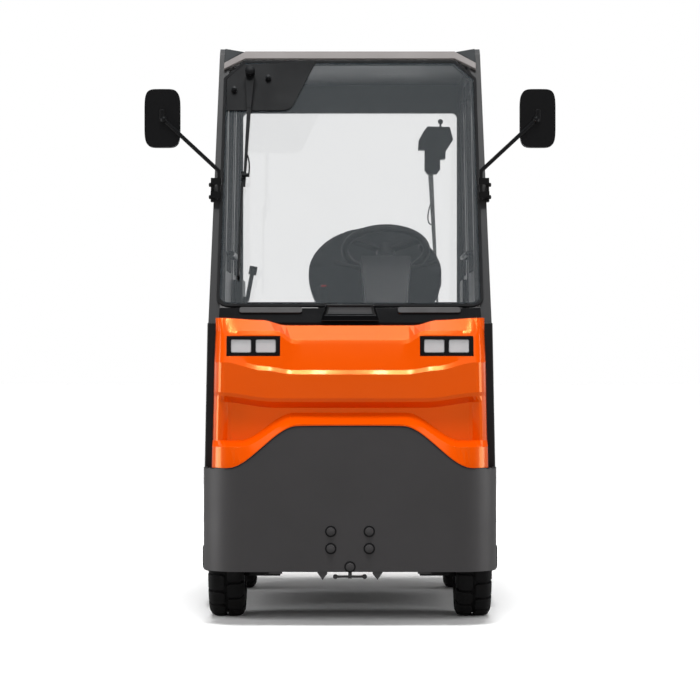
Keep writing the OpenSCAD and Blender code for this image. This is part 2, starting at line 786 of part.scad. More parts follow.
module mirror_outline(inset) {
    up = mirror_h / 2 - inset;
    translate([mirror_x, mirror_z]) polygon(oval(mirror_w / 2 - inset, up, up, 5));
}

module mirrors() color(black) {
    foot = [mirror_foot_x, mirror_arm_y, bracket_z0 + 6];
    knee = [mirror_foot_x, mirror_arm_y, bracket_z0 + 104];
    tip = [mirror_x - 6, mirror_arm_y, mirror_z - 6];
    both_sides() {
        on_side() {
            translate([fit, mirror_arm_y + bracket_lap - 2, bracket_z0])
                cube([bracket_t, bracket_l, bracket_h]);
            for (z = [bracket_z0 + clamp_low, bracket_z0 + bracket_h - clamp_h])
                translate([-clamp_in, mirror_arm_y - clamp_d, z])
                    cube([clamp_in + fit + bracket_t, clamp_d + bracket_lap, clamp_h]);
        }
        rod(foot, knee, mirror_arm_r);
        translate(knee) sphere(mirror_arm_r);
        rod(knee, tip, mirror_arm_r);
        translate(tip) sphere(mirror_arm_r * 1.8);
        seen_from_front(mirror_arm_y + 4, mirror_face_y) mirror_outline(0);
    }
}

module mirror_faces() color(steel) {
    both_sides() seen_from_front(mirror_face_y, mirror_face_y + 2) mirror_outline(mirror_rim);
}

door_edge = 44;
rail_bar_z = 1250;

module door_window(grow) {
    round_rect(door_y0 + door_edge - grow, waist_z - grow, door_y1 - door_edge + grow,
        door_z1 - door_edge + grow, 24 + grow);
}

module door() {
    on_side() {
        seen_from_side(-door_t, 0) difference() {
            round_rect(door_y0, door_z0, door_y1, door_z1, 12);
            door_window(0);
        }
        for (z = hinge_zs) hinge_moving(z);
        rod([-door_t - 22, door_y0 + 30, rail_bar_z], [-door_t - 22, door_y1 - 30, rail_bar_z], 9);
        for (y = [door_y0 + 30, door_y1 - 30])
            rod([-door_t + 2, y, rail_bar_z], [-door_t - 22, y, rail_bar_z], 9);
        translate([-2, door_y0 + 30, 1090]) cube([20, 26, 90]);
    }
}

module door_glass() {
    x0 = -door_t / 2 - glass_t / 2;
    on_side() seen_from_side(x0, x0 + glass_t) door_window(-fit);
}

module door_left() color(black) door();
module door_right() color(black) mirror([1, 0, 0]) door();
module door_glass_left() color(glass) door_glass();
module door_glass_right() color(glass) mirror([1, 0, 0]) door_glass();

module seat_box() color(black) {
    half = inner_at(seat_box_top) - 8;
    y1 = frame_y1;
    translate([-half, seat_box_y0, floor_top])
        cube([2 * half, seat_box_t, seat_box_top - floor_top]);
    translate([-half, seat_box_y0, seat_box_top - seat_box_t])
        cube([2 * half, y1 - seat_box_y0, seat_box_t]);
    translate([-half, y1 - seat_box_t, tyre_d + 30])
        cube([2 * half, seat_box_t, seat_box_top - tyre_d - 30]);
    both_sides() translate([half - seat_box_t, seat_box_y0, floor_top])
        cube([seat_box_t, b_post_y1 - seat_box_y0, seat_box_top - floor_top]);
}

module seat_base() color(dark_grey) {
    slide_w = 340;
    foot_w = 280;
    spine_w = 120;
    spine_t = 10;
    spine_y = seat_y1 - 40;
    translate([seat_x - slide_w / 2, seat_y1 - 300, seat_box_top]) cube([slide_w, 300, seat_slide_h]);
    translate([seat_x - foot_w / 2, seat_y1 - 280, seat_box_top + seat_slide_h])
        cube([foot_w, 260, seat_z0 - seat_box_top - seat_slide_h]);
    translate([seat_x - spine_w / 2, spine_y, seat_box_top + 25])
        cube([spine_w, seat_y1 + seat_back_t - spine_y, 20]);
    on_backrest() translate([-spine_w / 2, -110, -seat_back_t - fit - spine_t])
        cube([spine_w, 410, spine_t]);
}

seat_back_t = 85;
seat_back_lean = 8;
seat_back_up = 176;
seat_back_down = 240;
seat_hinge_z = 40;

module on_backrest() {
    translate([seat_x, seat_y1, seat_z0 + seat_hinge_z]) rotate([90 - seat_back_lean, 0, 0])
        children();
}

seat_slide_h = 40;
seat_z0 = seat_box_top + 95;
seat_y1 = seat_box_y0 + 280;

module seat_cushion() color(dark_grey) {
    translate([0, 0, seat_z0]) linear_extrude(100)
        round_rect(seat_x - seat_w / 2, seat_y1 - 390, seat_x + seat_w / 2, seat_y1 - 2, 60);
}

module seat_backrest() color(dark_grey) {
    h = (seat_top - seat_z0 - seat_hinge_z) / cos(seat_back_lean);
    on_backrest() translate([0, h - seat_back_up, -seat_back_t]) linear_extrude(seat_back_t)
        polygon(oval(seat_w / 2, seat_back_up, seat_back_down, 2));
}

module steering_column() color(black) {
    top = -52;
    low = -1120;
    intersection() {
        on_column() union() {
            rotate([90, 0, 0]) translate([0, 0, -45]) linear_extrude(90)
                polygon([[-50, low], [50, low], [72, -260], [90, top], [-90, top], [-72, -260]]);
            translate([0, 0, top - 2]) cylinder(h = 50, r = 12);
            for (s = [-1, 1])
                rod([s * 80, 10, top - 22], [s * 185, 10, top + 6], 7);
        }
        translate([-500, -900, floor_top]) cube([1000, 1400, 1400]);
    }
}

module steering_wheel() color(black) {
    r = steer_wheel_d / 2;
    on_column() {
        rotate_extrude() translate([r - 13, 0]) circle(13);
        difference() {
            union() {
                translate([0, 0, -34]) cylinder(h = 46, r = 34);
                for (a = [90, 210, 330])
                    rotate([0, 0, a]) translate([20, -14, -9]) cube([r - 34, 28, 12]);
            }
            translate([0, 0, -60]) cylinder(h = 60, r = 12 + run_gap);
        }
        rotate([0, 0, 18]) translate([r - 13, 0, 8]) cylinder(h = 26, r = 8);
        rotate([0, 0, 18]) translate([r - 13, 0, 42]) sphere(20);
    }
}

module side_consoles() color(black) {
    z1 = 1170;
    y0 = b_post_y1 + 6;
    y1 = frame_y0 - 4;
    out = inner_at(z1) - 1;
    lever_y = y0 + 60;
    translate([421, y0, seat_box_top]) cube([out - 421, y1 - y0, z1 - seat_box_top]);
    translate([-out, y0, seat_box_top]) cube([out - 402, y1 - y0, z1 - seat_box_top]);
    rod([-404, lever_y, 1094], [-385, lever_y, 1094], 14);
    rod([-388, lever_y, 1090], [-368, lever_y, 1196], 8);
    rod([-368, lever_y, 1190], [-362, lever_y, 1222], 15);
}

module pedals() color(dark_grey) {
    for (x = [-95, -10])
        seen_from_side(x, x + 60)
            polygon([[bulk_y0 + 190, floor_top], [bulk_y0 + 240, floor_top],
                [bulk_y0 + 150, floor_top + 140], [bulk_y0 + 134, floor_top + 132]]);
}

module battery() color(dark_grey) {
    translate([-330, seat_box_y0 + 40, floor_z0])
        cube([660, 430, seat_box_top - seat_box_t - 30 - floor_z0]);
}

module rear_side_panels() color(black) {
    both_sides() on_side() seen_from_side(-slab_t, 0) difference() {
        polygon([[b_post_y1, 232], [b_post_y1, tail_z], [bumper_y, tail_z], [bumper_y, 232]]);
        translate([rear_axle_y, axle_z]) circle(arch_rear_r);
    }
}

module rear_panel() color(orange) {
    half = inner_at(232) - 6;
    difference() {
        seen_from_front(bumper_y - tail_t, bumper_y)
            polygon([[-half, floor_z0], [half, floor_z0], [inner_at(tail_z) - 2, tail_z],
                [-inner_at(tail_z) + 2, tail_z]]);
        for (i = [0:5])
            translate([-200, bumper_y - 8, 560 + i * 30]) cube([400, 20, 14]);
    }
}

module rear_bumper() color(dark_grey) {
    r = bumper_t / 2;
    translate([0, 0, 205]) linear_extrude(215) {
        translate([-side_x + r, bumper_y]) square([2 * (side_x - r), bumper_t]);
        translate([-side_x, bumper_y]) square([2 * side_x, bumper_t - r]);
        for (s = [-1, 1]) translate([s * (side_x - r), bumper_y + bumper_t - r]) circle(r);
    }
}

module rear_hood() color(orange) {
    half = inner_at(tail_z) + slab_t - 2;
    z0 = tail_z + clear_gap;
    y1 = bumper_y - 2;
    difference() {
        union() {
            difference() {
                translate([-half, hood_y0, z0]) cube([2 * half, y1 - hood_y0, 14]);
                for (y = [hood_y0 + 60:24:y1 - 50])
                    translate([-150, y, z0 - 1]) cube([300, 10, 20]);
            }
            both_sides() {
                translate([272, hood_hinge[0], hood_hinge[1]]) rotate([0, 90, 0])
                    cylinder(h = 30, r = 9);
                translate([272, hood_hinge[0] - 4, z0 + 4]) cube([30, 40, hood_hinge[1] - z0]);
            }
        }
        both_sides() translate([260, hood_hinge[0], hood_hinge[1]]) rotate([0, 90, 0])
            cylinder(h = 60, r = hinge_r - 2 + run_gap);
    }
}

module tail_lamps() color([0.6, 0.05, 0.04]) {
    both_sides() seen_from_front(bumper_y, bumper_y + 14)
        round_rect(300, 640, 410, 740, 10);
}

module rear_coupling() color(black) {
    y0 = bumper_y + bumper_t;
    z_mid = 322;
    hole_y = rear_y - 34;
    difference() {
        union() {
            seen_from_front(y0, y0 + flange_t) round_rect(-85, z_mid - 75, 85, z_mid + 75, 12);
            for (z = [z_mid - jaw_gap / 2 - jaw_t, z_mid + jaw_gap / 2]) {
                translate([-34, y0 + flange_t - 1, z]) cube([68, hole_y - y0 - flange_t + 1, jaw_t]);
                translate([0, hole_y, z]) cylinder(h = jaw_t, r = 34);
            }
        }
        translate([0, hole_y, z_mid - 100]) cylinder(h = 200, r = jaw_r);
    }
}

module rear_axle() color(dark_grey) {
    hub_x = track / 2 - tyre_w / 2 - 14;
    translate([-hub_x, rear_axle_y, axle_z]) rotate([0, 90, 0]) cylinder(h = 2 * hub_x, r = 38);
    translate([-115, rear_axle_y, axle_z]) rotate([0, 90, 0]) cylinder(h = 230, r = 92);
    translate([0, rear_axle_y + 60, axle_z + 5]) rotate([-90, 0, 0]) cylinder(h = 160, r = 78);
    both_sides() {
        translate([hub_x - 1, rear_axle_y, axle_z]) rotate([0, 90, 0])
            cylinder(h = track / 2 + 30 - hub_x, r = stub_r);
        translate([hub_x - 12, rear_axle_y, axle_z]) rotate([0, 90, 0]) cylinder(h = 20, r = 66);
        translate([rail_x0, rear_axle_y - 35, axle_z]) cube([rail_w, 70, rail_z0 - axle_z]);
    }
}

ear_t = 20;
ear_r = 32;
boss_h = 62;

module front_axle() color(dark_grey) {
    translate([-beam_half, front_axle_y - beam_d / 2, rail_z0 - beam_h])
        cube([2 * beam_half, beam_d, beam_h]);
    both_sides() {
        for (z = [axle_z + boss_h / 2 + 2, axle_z - boss_h / 2 - 2 - ear_t]) {
            translate([beam_half - 30, front_axle_y - ear_r, z])
                cube([king_x - beam_half + 30, 2 * ear_r, ear_t]);
            translate([king_x, front_axle_y, z]) cylinder(h = ear_t, r = ear_r);
        }
        translate([king_x, front_axle_y, axle_z - boss_h / 2 - 8])
            cylinder(h = boss_h + 16, r = king_r);
    }
}

track_rod_z = axle_z - 39;
rod_end_h = 26;

module knuckle() {
    arm_z = axle_z - 22;
    difference() {
        union() {
            translate([king_x, front_axle_y, axle_z - boss_h / 2]) cylinder(h = boss_h, r = 29);
            translate([king_x, front_axle_y, axle_z]) rotate([0, 90, 0])
                cylinder(h = track / 2 + 30 - king_x, r = stub_r);
            translate([king_x - 14, front_axle_y, arm_z]) cube([28, steer_arm, 20]);
            translate([king_x, front_axle_y + steer_arm, arm_z]) cylinder(h = 20, r = 16);
        }
        translate([king_x, front_axle_y, 0]) cylinder(h = 2 * axle_z, r = king_r + run_gap);
    }
    translate([king_x, front_axle_y + steer_arm, track_rod_z - 18])
        cylinder(h = arm_z - track_rod_z + 22, r = stud_r);
}

module knuckle_left() color(dark_grey) knuckle();
module knuckle_right() color(dark_grey) mirror([1, 0, 0]) knuckle();

module track_rod() color(dark_grey) {
    y = front_axle_y + steer_arm;
    difference() {
        union() {
            translate([-king_x, y, track_rod_z]) rotate([0, 90, 0])
                cylinder(h = 2 * king_x, r = track_rod_r);
            for (x = [-king_x, king_x])
                translate([x, y, track_rod_z - rod_end_h / 2]) cylinder(h = rod_end_h, r = 2 * stud_r);
        }
        for (x = [-king_x, king_x])
            translate([x, y, track_rod_z - 30]) cylinder(h = 60, r = stud_r + run_gap);
    }
}

module tyre() {
    r = tyre_d / 2;
    w = tyre_w / 2;
    arc = [for (a = [0:22.5:90])
        [r - shoulder_r + shoulder_r * cos(a), w - shoulder_r + shoulder_r * sin(a)]];
    rotate([0, 90, 0]) rotate_extrude($fn = 72)
        polygon(concat([[rim_d / 2 + fit, -w + 10], [rim_d / 2 + fit, w - 10], [rim_d / 2 + 14, w]],
            [for (i = [4:-1:0]) arc[i]], [for (i = [0:4]) [arc[i][0], -arc[i][1]]],
            [[rim_d / 2 + 14, -w]]));
}

module rim() {
    w = tyre_w / 2 - 6;
    r = rim_d / 2;
    in = r - rim_wall;
    bore = stub_r + run_gap;
    rotate([0, 90, 0]) rotate_extrude($fn = 72)
        polygon([[bore, -14], [bore, 34], [0, 34], [0, 44], [40, 44], [40, 22], [in - 6, 16],
            [in, 30], [in, w], [r, w], [r, -w], [in, -w], [in, 4], [44, 8], [44, -14]]);
}

module wheel_place(side, y) {
    translate([side * track / 2, y, axle_z]) rotate([0, 0, side > 0 ? 0 : 180]) children();
}

module tyre_front_left() color(black) wheel_place(1, front_axle_y) tyre();
module tyre_front_right() color(black) wheel_place(-1, front_axle_y) tyre();
module tyre_rear_left() color(black) wheel_place(1, rear_axle_y) tyre();
module tyre_rear_right() color(black) wheel_place(-1, rear_axle_y) tyre();
module rim_front_left() color(steel) wheel_place(1, front_axle_y) rim();
module rim_front_right() color(steel) wheel_place(-1, front_axle_y) rim();
module rim_rear_left() color(steel) wheel_place(1, rear_axle_y) rim();
module rim_rear_right() color(steel) wheel_place(-1, rear_axle_y) rim();

chassis_frame();
floor_deck();
side_steps();
wheel_housings();
front_apron();
front_panel();
headlamp_frames();
headlamp_lenses();
front_side_panels();
dashboard();
cowl();
cowl_lamp();
screen_clamps();
side_frames();
roof_panel();
roof_beam();
windscreen_seal();
windscreen();
wiper_plate();
wipers();
side_windows();
rear_frame();
rear_window();
mirrors();
mirror_faces();
door_left();
door_right();
door_glass_left();
door_glass_right();
seat_box();
seat_base();
seat_cushion();
seat_backrest();
steering_column();
steering_wheel();
side_consoles();
pedals();
battery();
rear_side_panels();
rear_panel();
rear_bumper();
rear_hood();
tail_lamps();
rear_coupling();
rear_axle();
front_axle();
knuckle_left();
knuckle_right();
track_rod();
tyre_front_left();
tyre_front_right();
tyre_rear_left();
tyre_rear_right();
rim_front_left();
rim_front_right();
rim_rear_left();
rim_rear_right();
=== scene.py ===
import json
import math
import bpy
from mathutils import Matrix, Vector


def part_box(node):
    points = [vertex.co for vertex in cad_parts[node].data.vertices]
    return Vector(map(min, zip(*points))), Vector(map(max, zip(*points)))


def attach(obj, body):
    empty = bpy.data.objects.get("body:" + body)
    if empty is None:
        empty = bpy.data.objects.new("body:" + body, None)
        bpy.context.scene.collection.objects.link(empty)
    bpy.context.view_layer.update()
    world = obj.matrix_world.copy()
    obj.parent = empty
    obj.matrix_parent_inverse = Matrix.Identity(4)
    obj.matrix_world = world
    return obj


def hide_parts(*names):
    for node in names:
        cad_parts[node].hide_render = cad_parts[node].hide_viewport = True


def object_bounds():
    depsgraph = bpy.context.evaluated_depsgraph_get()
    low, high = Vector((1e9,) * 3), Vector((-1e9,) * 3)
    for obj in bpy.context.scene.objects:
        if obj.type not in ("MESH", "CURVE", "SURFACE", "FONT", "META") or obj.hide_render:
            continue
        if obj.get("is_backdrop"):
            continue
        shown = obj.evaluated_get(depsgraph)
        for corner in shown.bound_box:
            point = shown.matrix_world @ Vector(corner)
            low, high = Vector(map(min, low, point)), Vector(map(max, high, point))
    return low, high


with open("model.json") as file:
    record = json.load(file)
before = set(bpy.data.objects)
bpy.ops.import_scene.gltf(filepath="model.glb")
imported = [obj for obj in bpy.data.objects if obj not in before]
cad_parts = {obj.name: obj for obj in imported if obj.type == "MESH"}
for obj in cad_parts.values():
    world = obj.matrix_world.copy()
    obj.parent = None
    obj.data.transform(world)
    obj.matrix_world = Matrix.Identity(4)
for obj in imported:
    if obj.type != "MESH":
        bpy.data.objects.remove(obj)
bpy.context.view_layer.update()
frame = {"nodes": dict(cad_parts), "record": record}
nodes = frame["nodes"]
slotOf = {part["node"]: part["material_slot"] for part in frame["record"]["subparts"]}
bodyOf = {node: body for body, members in frame["record"]["behaviour"]["bodies"].items() for node in members}
mm = 0.001
print("frame loaded:", len(nodes), "nodes")


# small tools

def linear(code):
    channels = [int(code[i:i + 2], 16) / 255 for i in (1, 3, 5)]
    return [c / 12.92 if c <= 0.04045 else ((c + 0.055) / 1.055) ** 2.4 for c in channels] + [1.0]


def addNode(tree, kind, inputs=None, **settings):
    node = tree.nodes.new(kind)
    for name, value in settings.items():
        setattr(node, name, value)
    for name, value in (inputs or {}).items():
        if isinstance(value, bpy.types.NodeSocket):
            tree.links.new(value, node.inputs[name])
        else:
            node.inputs[name].default_value = value
    return node


def only(*objects):
    bpy.ops.object.select_all(action="DESELECT")
    for obj in objects:
        obj.select_set(True)
    bpy.context.view_layer.objects.active = objects[0]


def editAll(obj):
    only(obj)
    bpy.ops.object.mode_set(mode="EDIT")
    bpy.ops.mesh.select_all(action="SELECT")


def editFaces(obj, test):
    only(obj)
    bpy.ops.object.mode_set(mode="EDIT")
    bpy.ops.mesh.select_mode(type="FACE")
    bpy.ops.mesh.select_all(action="DESELECT")
    bpy.ops.object.mode_set(mode="OBJECT")
    for face in obj.data.polygons:
        face.select = test(face)
    bpy.ops.object.mode_set(mode="EDIT")


def endEdit():
    bpy.ops.object.mode_set(mode="OBJECT")


def shapeWith(obj, kind, **settings):
    only(obj)
    modifier = obj.modifiers.new(kind.lower(), kind)
    for name, value in settings.items():
        setattr(modifier, name, value)
    bpy.ops.object.modifier_apply(modifier=modifier.name)


def smooth(obj, degrees=32):
    only(obj)
    bpy.ops.object.shade_smooth_by_angle(angle=math.radians(degrees))


def settle(obj):
    only(obj)
    bpy.ops.object.transform_apply(location=True, rotation=True, scale=True)


def copyOf(obj, name, matrix=Matrix.Identity(4)):
    twin = obj.copy()
    twin.data = obj.data.copy()
    twin.name = name
    bpy.context.scene.collection.objects.link(twin)
    twin.data.transform(matrix)
    return twin


def joinAll(objects, name):
    only(*objects)
    bpy.ops.object.join()
    objects[0].name = name
    return objects[0]


def facing(place, direction):
    turn = Vector(direction).to_track_quat("Z", "Y").to_matrix().to_4x4()
    return Matrix.Translation(Vector(place)) @ turn


def dress(obj, material, body, stands=()):
    obj.data.materials.clear()
    obj.data.materials.append(material)
    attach(obj, body)
    if stands:
        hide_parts(*stands)
    return obj


# materials: each one is built from a patchy tint, a patchy gloss and a fine relief, on real sizes in millimetres

def surface(look):
    material = bpy.data.materials.new(look["name"])
    material.use_nodes = True
    tree = material.node_tree
    shader = tree.nodes["Principled BSDF"]
    place = addNode(tree, "ShaderNodeTexCoord")
    patches = addNode(tree, "ShaderNodeTexNoise",
                      {"Vector": place.outputs["Object"], "Scale": 1 / (look["patch"] * mm), "Detail": 5.0})
    tint = addNode(tree, "ShaderNodeMix",
                   {"Factor": patches.outputs["Fac"], "A": linear(look["colour"]), "B": linear(look["shade"])},
                   data_type="RGBA")
    gloss = addNode(tree, "ShaderNodeMapRange",
                    {"Value": patches.outputs["Fac"], "From Min": 0.3, "From Max": 0.7,
                     "To Min": look["rough"] - look["spread"], "To Max": look["rough"] + look["spread"]})
    tree.links.new(tint.outputs["Result"], shader.inputs["Base Color"])
    tree.links.new(gloss.outputs["Result"], shader.inputs["Roughness"])
    if look["relief"] == "pebble":
        grain = addNode(tree, "ShaderNodeTexVoronoi",
                        {"Vector": place.outputs["Object"], "Scale": 1 / (look["grain"] * mm)})
        height = grain.outputs["Distance"]
    else:
        grain = addNode(tree, "ShaderNodeTexNoise",
                        {"Vector": place.outputs["Object"], "Scale": 1 / (look["grain"] * mm), "Detail": 2.0})
        height = grain.outputs["Fac"]
    bump = addNode(tree, "ShaderNodeBump",
                   {"Height": height, "Strength": look["strength"], "Distance": look["depth"] * mm})
    tree.links.new(bump.outputs["Normal"], shader.inputs["Normal"])
    for name, value in look.get("sockets", {}).items():
        shader.inputs[name].default_value = value
    return material


# two-pack enamel on a glass-fibre moulding: its warm pigment tints the gloss, a thin clear coat keeps sharp glints
orangeEnamel = surface({"name": "orangeEnamel", "colour": "#e65000", "shade": "#e04c00", "patch": 160,
                        "rough": 0.16, "spread": 0.03, "relief": "soft", "grain": 5, "strength": 0.05, "depth": 0.3,
                        "sockets": {"Specular IOR Level": 0.9, "Specular Tint": linear("#ffd070"),
                                    "Coat Weight": 0.12, "Coat Roughness": 0.03}})
# powder coat on thick plate: even satin grey with a fine sandy skin
greyPowderCoat = surface({"name": "greyPowderCoat", "colour": "#3b393a", "shade": "#343333", "patch": 220,
                          "rough": 0.5, "spread": 0.05, "relief": "pebble", "grain": 2.5, "strength": 0.12,
                          "depth": 0.25, "sockets": {"Specular IOR Level": 0.4}})
# powder coat on folded and welded frames: satin black that catches the light on its edges
blackPowderCoat = surface({"name": "blackPowderCoat", "colour": "#111112", "shade": "#0b0b0c", "patch": 180,
                           "rough": 0.38, "spread": 0.06, "relief": "pebble", "grain": 2.5, "strength": 0.1,
                           "depth": 0.2, "sockets": {"Specular IOR Level": 0.35}})
# moulded ABS with a leather-like mould grain, drawn coarser than life so that it shows
blackMoulding = surface({"name": "blackMoulding", "colour": "#0e0e0f", "shade": "#0a0a0b", "patch": 120,
                         "rough": 0.46, "spread": 0.06, "relief": "pebble", "grain": 3, "strength": 0.03,
                         "depth": 0.3, "sockets": {"Specular IOR Level": 0.2}})
# spark-eroded mould finish on the cowl: a dead matt black that keeps the screen free of reflections
mattMoulding = surface({"name": "mattMoulding", "colour": "#0c0c0d", "shade": "#101011", "patch": 140,
                        "rough": 0.65, "spread": 0.06, "relief": "pebble", "grain": 3, "strength": 0.05,
                        "depth": 0.3, "sockets": {"Specular IOR Level": 0.08}})
# polished acrylic-capped ABS: a black mirror finish
blackGlossMoulding = surface({"name": "blackGlossMoulding", "colour": "#060607", "shade": "#09090a", "patch": 90,
                              "rough": 0.09, "spread": 0.03, "relief": "soft", "grain": 8, "strength": 0.02,
                              "depth": 0.2})
# warm grey paint on the clamp strips
warmGreyPaint = surface({"name": "warmGreyPaint", "colour": "#282524", "shade": "#23201f", "patch": 60,
                         "rough": 0.48, "spread": 0.05, "relief": "soft", "grain": 3, "strength": 0.08,
                         "depth": 0.2})
# cool grey paint under the roof
roofPaint = surface({"name": "roofPaint", "colour": "#26292b", "shade": "#212425", "patch": 200,
                     "rough": 0.55, "spread": 0.06, "relief": "soft", "grain": 4, "strength": 0.08, "depth": 0.2})
# pale stone-grey satin paint on the folded roof beam
paleGreyPaint = surface({"name": "paleGreyPaint", "colour": "#8b8583", "shade": "#827d7b", "patch": 140,
                         "rough": 0.42, "spread": 0.05, "relief": "soft", "grain": 4, "strength": 0.06,
                         "depth": 0.2})
# extruded EPDM: dull, slightly dusty black
sealRubber = surface({"name": "sealRubber", "colour": "#121213", "shade": "#1a1a1b", "patch": 40,
                      "rough": 0.7, "spread": 0.08, "relief": "soft", "grain": 3, "strength": 0.15, "depth": 0.3,
                      "sockets": {"Specular IOR Level": 0.3}})
# cured tyre compound: dull black, a little greyer where it scuffs
tyreRubber = surface({"name": "tyreRubber", "colour": "#101011", "shade": "#1c1b1b", "patch": 35,
                      "rough": 0.78, "spread": 0.08, "relief": "soft", "grain": 2.5, "strength": 0.25,
                      "depth": 0.5, "sockets": {"Specular IOR Level": 0.3}})
# chassis paint over rolled steel, thin and a little rough
chassisPaint = surface({"name": "chassisPaint", "colour": "#2b2b2b", "shade": "#222223", "patch": 90,
                        "rough": 0.55, "spread": 0.08, "relief": "soft", "grain": 4, "strength": 0.15,
                        "depth": 0.4})
# sand-cast iron under black paint: coarse lumpy skin
castIron = surface({"name": "castIron", "colour": "#181818", "shade": "#222121", "patch": 50,
                    "rough": 0.6, "spread": 0.1, "relief": "soft", "grain": 5, "strength": 0.4, "depth": 0.8})
# pale silver-grey wheel enamel
rimEnamel = surface({"name": "rimEnamel", "colour": "#8d8f92", "shade": "#83858a", "patch": 70,
                     "rough": 0.38, "spread": 0.06, "relief": "soft", "grain": 4, "strength": 0.06, "depth": 0.2})
# zinc-plated steel screws and pins
zincSteel = surface({"name": "zincSteel", "colour": "#9a9b9d", "shade": "#858689", "patch": 12,
                     "rough": 0.36, "spread": 0.08, "relief": "soft", "grain": 2, "strength": 0.1, "depth": 0.1,
                     "sockets": {"Metallic": 1.0}})
# dyed-through acrylic lamp covers
redAcrylic = surface({"name": "redAcrylic", "colour": "#a00c08", "shade": "#8a0806", "patch": 60,
                      "rough": 0.12, "spread": 0.03, "relief": "pebble", "grain": 6, "strength": 0.2, "depth": 0.5,
                      "sockets": {"Coat Weight": 0.5}})
# fluted polycarbonate in front of a silvered bowl: reads as pale grey
lampPolycarbonate = surface({"name": "lampPolycarbonate", "colour": "#c9cacb", "shade": "#bcbdbf", "patch": 30,
                             "rough": 0.16, "spread": 0.03, "relief": "soft", "grain": 6, "strength": 0.05,
                             "depth": 0.3, "sockets": {"Coat Weight": 0.6, "Coat Roughness": 0.03}})
# smoked acrylic over the cowl's lamp: dark grey with a sharp gloss
smokedAcrylic = surface({"name": "smokedAcrylic", "colour": "#4a4a4b", "shade": "#444445", "patch": 50,
                         "rough": 0.12, "spread": 0.02, "relief": "soft", "grain": 8, "strength": 0.03, "depth": 0.2})
# woven polyester seat cover: matt, with a fine check of over and under threads
seatCloth = surface({"name": "seatCloth", "colour": "#2c2d2f", "shade": "#222325", "patch": 25,
                     "rough": 0.9, "spread": 0.05, "relief": "pebble", "grain": 2.6, "strength": 0.3, "depth": 0.5,
                     "sockets": {"Sheen Weight": 0.25, "Specular IOR Level": 0.2}})
# silvered flat glass
mirrorGlass = surface({"name": "mirrorGlass", "colour": "#e8eaec", "shade": "#e2e4e7", "patch": 80,
                       "rough": 0.05, "spread": 0.02, "relief": "soft", "grain": 20, "strength": 0.01,
                       "depth": 0.05, "sockets": {"Metallic": 1.0}})
# laminated glass with a faint grey tint
tintedGlass = surface({"name": "tintedGlass", "colour": "#f4f4f4", "shade": "#f2f2f2", "patch": 300,
                       "rough": 0.02, "spread": 0.01, "relief": "soft", "grain": 400, "strength": 0.0,
                       "depth": 0.01, "sockets": {"Transmission Weight": 1.0, "IOR": 1.5}})

# black powder coat on the folded front posts, painted lighter than the black of the rest; the lighter tone is painted
# sheen for the light their satin faces catch
charcoalPowderCoat = surface({"name": "charcoalPowderCoat", "colour": "#302f2f", "shade": "#292828", "patch": 180,
                              "rough": 0.36, "spread": 0.05, "relief": "pebble", "grain": 2.5, "strength": 0.1,
                              "depth": 0.2, "sockets": {"Specular IOR Level": 0.4}})

finishOf = {"frame_steel": chassisPaint, "black_plastic": blackMoulding, "black_gloss": blackGlossMoulding,
            "black_paint": blackPowderCoat, "dark_grey_paint": greyPowderCoat, "orange_paint": orangeEnamel,
            "lamp_lens": lampPolycarbonate, "warm_grey_paint": warmGreyPaint, "roof_grey": roofPaint,
            "pale_grey_paint": paleGreyPaint, "seal_rubber": sealRubber, "tinted_glass": tintedGlass,
            "mirror_glass": mirrorGlass, "seat_fabric": seatCloth, "black_rubber": sealRubber,
            "red_lens": redAcrylic, "cast_black": castIron, "tyre_rubber": tyreRubber, "rim_paint": rimEnamel}
print("materials made:", len(finishOf))

for name, node in nodes.items():
    node.data.materials.clear()
    node.data.materials.append(finishOf[slotOf[name]])


# skins: a merged copy of each rigid node with its sharp edges broken, as paint and moulds leave them

skins = {"bevels": {"front_apron": 2.5, "front_side_panels": 5, "side_frames": 9, "door_left": 3, "door_right": 3,
                    "roof_beam": 2, "roof_panel": 2, "rear_frame": 3, "rear_side_panels": 3, "rear_panel": 2,
                    "rear_hood": 3, "rear_bumper": 3, "rear_coupling": 2, "cowl": 3, "cowl_lamp": 4,
                    "screen_clamps": 1, "headlamp_frames": 2, "headlamp_lenses": 3, "mirrors": 8,
                    "wiper_plate": 1, "wipers": 1.5, "side_steps": 2, "dashboard": 4, "seat_box": 2, "seat_base": 2,
                    "side_consoles": 4, "steering_column": 5, "steering_wheel": 2, "pedals": 2, "battery": 3,
                    "tail_lamps": 3, "chassis_frame": 2, "wheel_housings": 1.5, "floor_deck": 1.5,
                    "windscreen_seal": 2, "front_axle": 2, "rear_axle": 2, "knuckle_left": 2, "knuckle_right": 2,
                    "track_rod": 1.5, "rim_front_left": 1.5, "rim_front_right": 1.5, "rim_rear_left": 1.5,
                    "rim_rear_right": 1.5},
         # the front posts take the lighter copy of the black coat, whose tone is painted sheen
         "corners": {"screen_clamps": {"radius": 9, "longest": 8}}, "cornerSteps": 5, "steps": 3, "sharp": 35,
         "weld": 0.02, "flat": 0.5,
         "finishes": {"side_frames": charcoalPowderCoat, "wiper_plate": blackMoulding, "cowl": mattMoulding}}


def plainName(node):
    words = node.split("_")
    return words[0] + "".join(word.title() for word in words[1:])


def mergedCopy(node, name):
    skin = copyOf(nodes[node], name)
    skin.parent = None
    for key in list(skin.keys()):
        del skin[key]
    only(skin)
    bpy.ops.mesh.customdata_custom_splitnormals_clear()
    editAll(skin)
    bpy.ops.mesh.remove_doubles(threshold=skins["weld"] * mm)
    endEdit()
    return skin


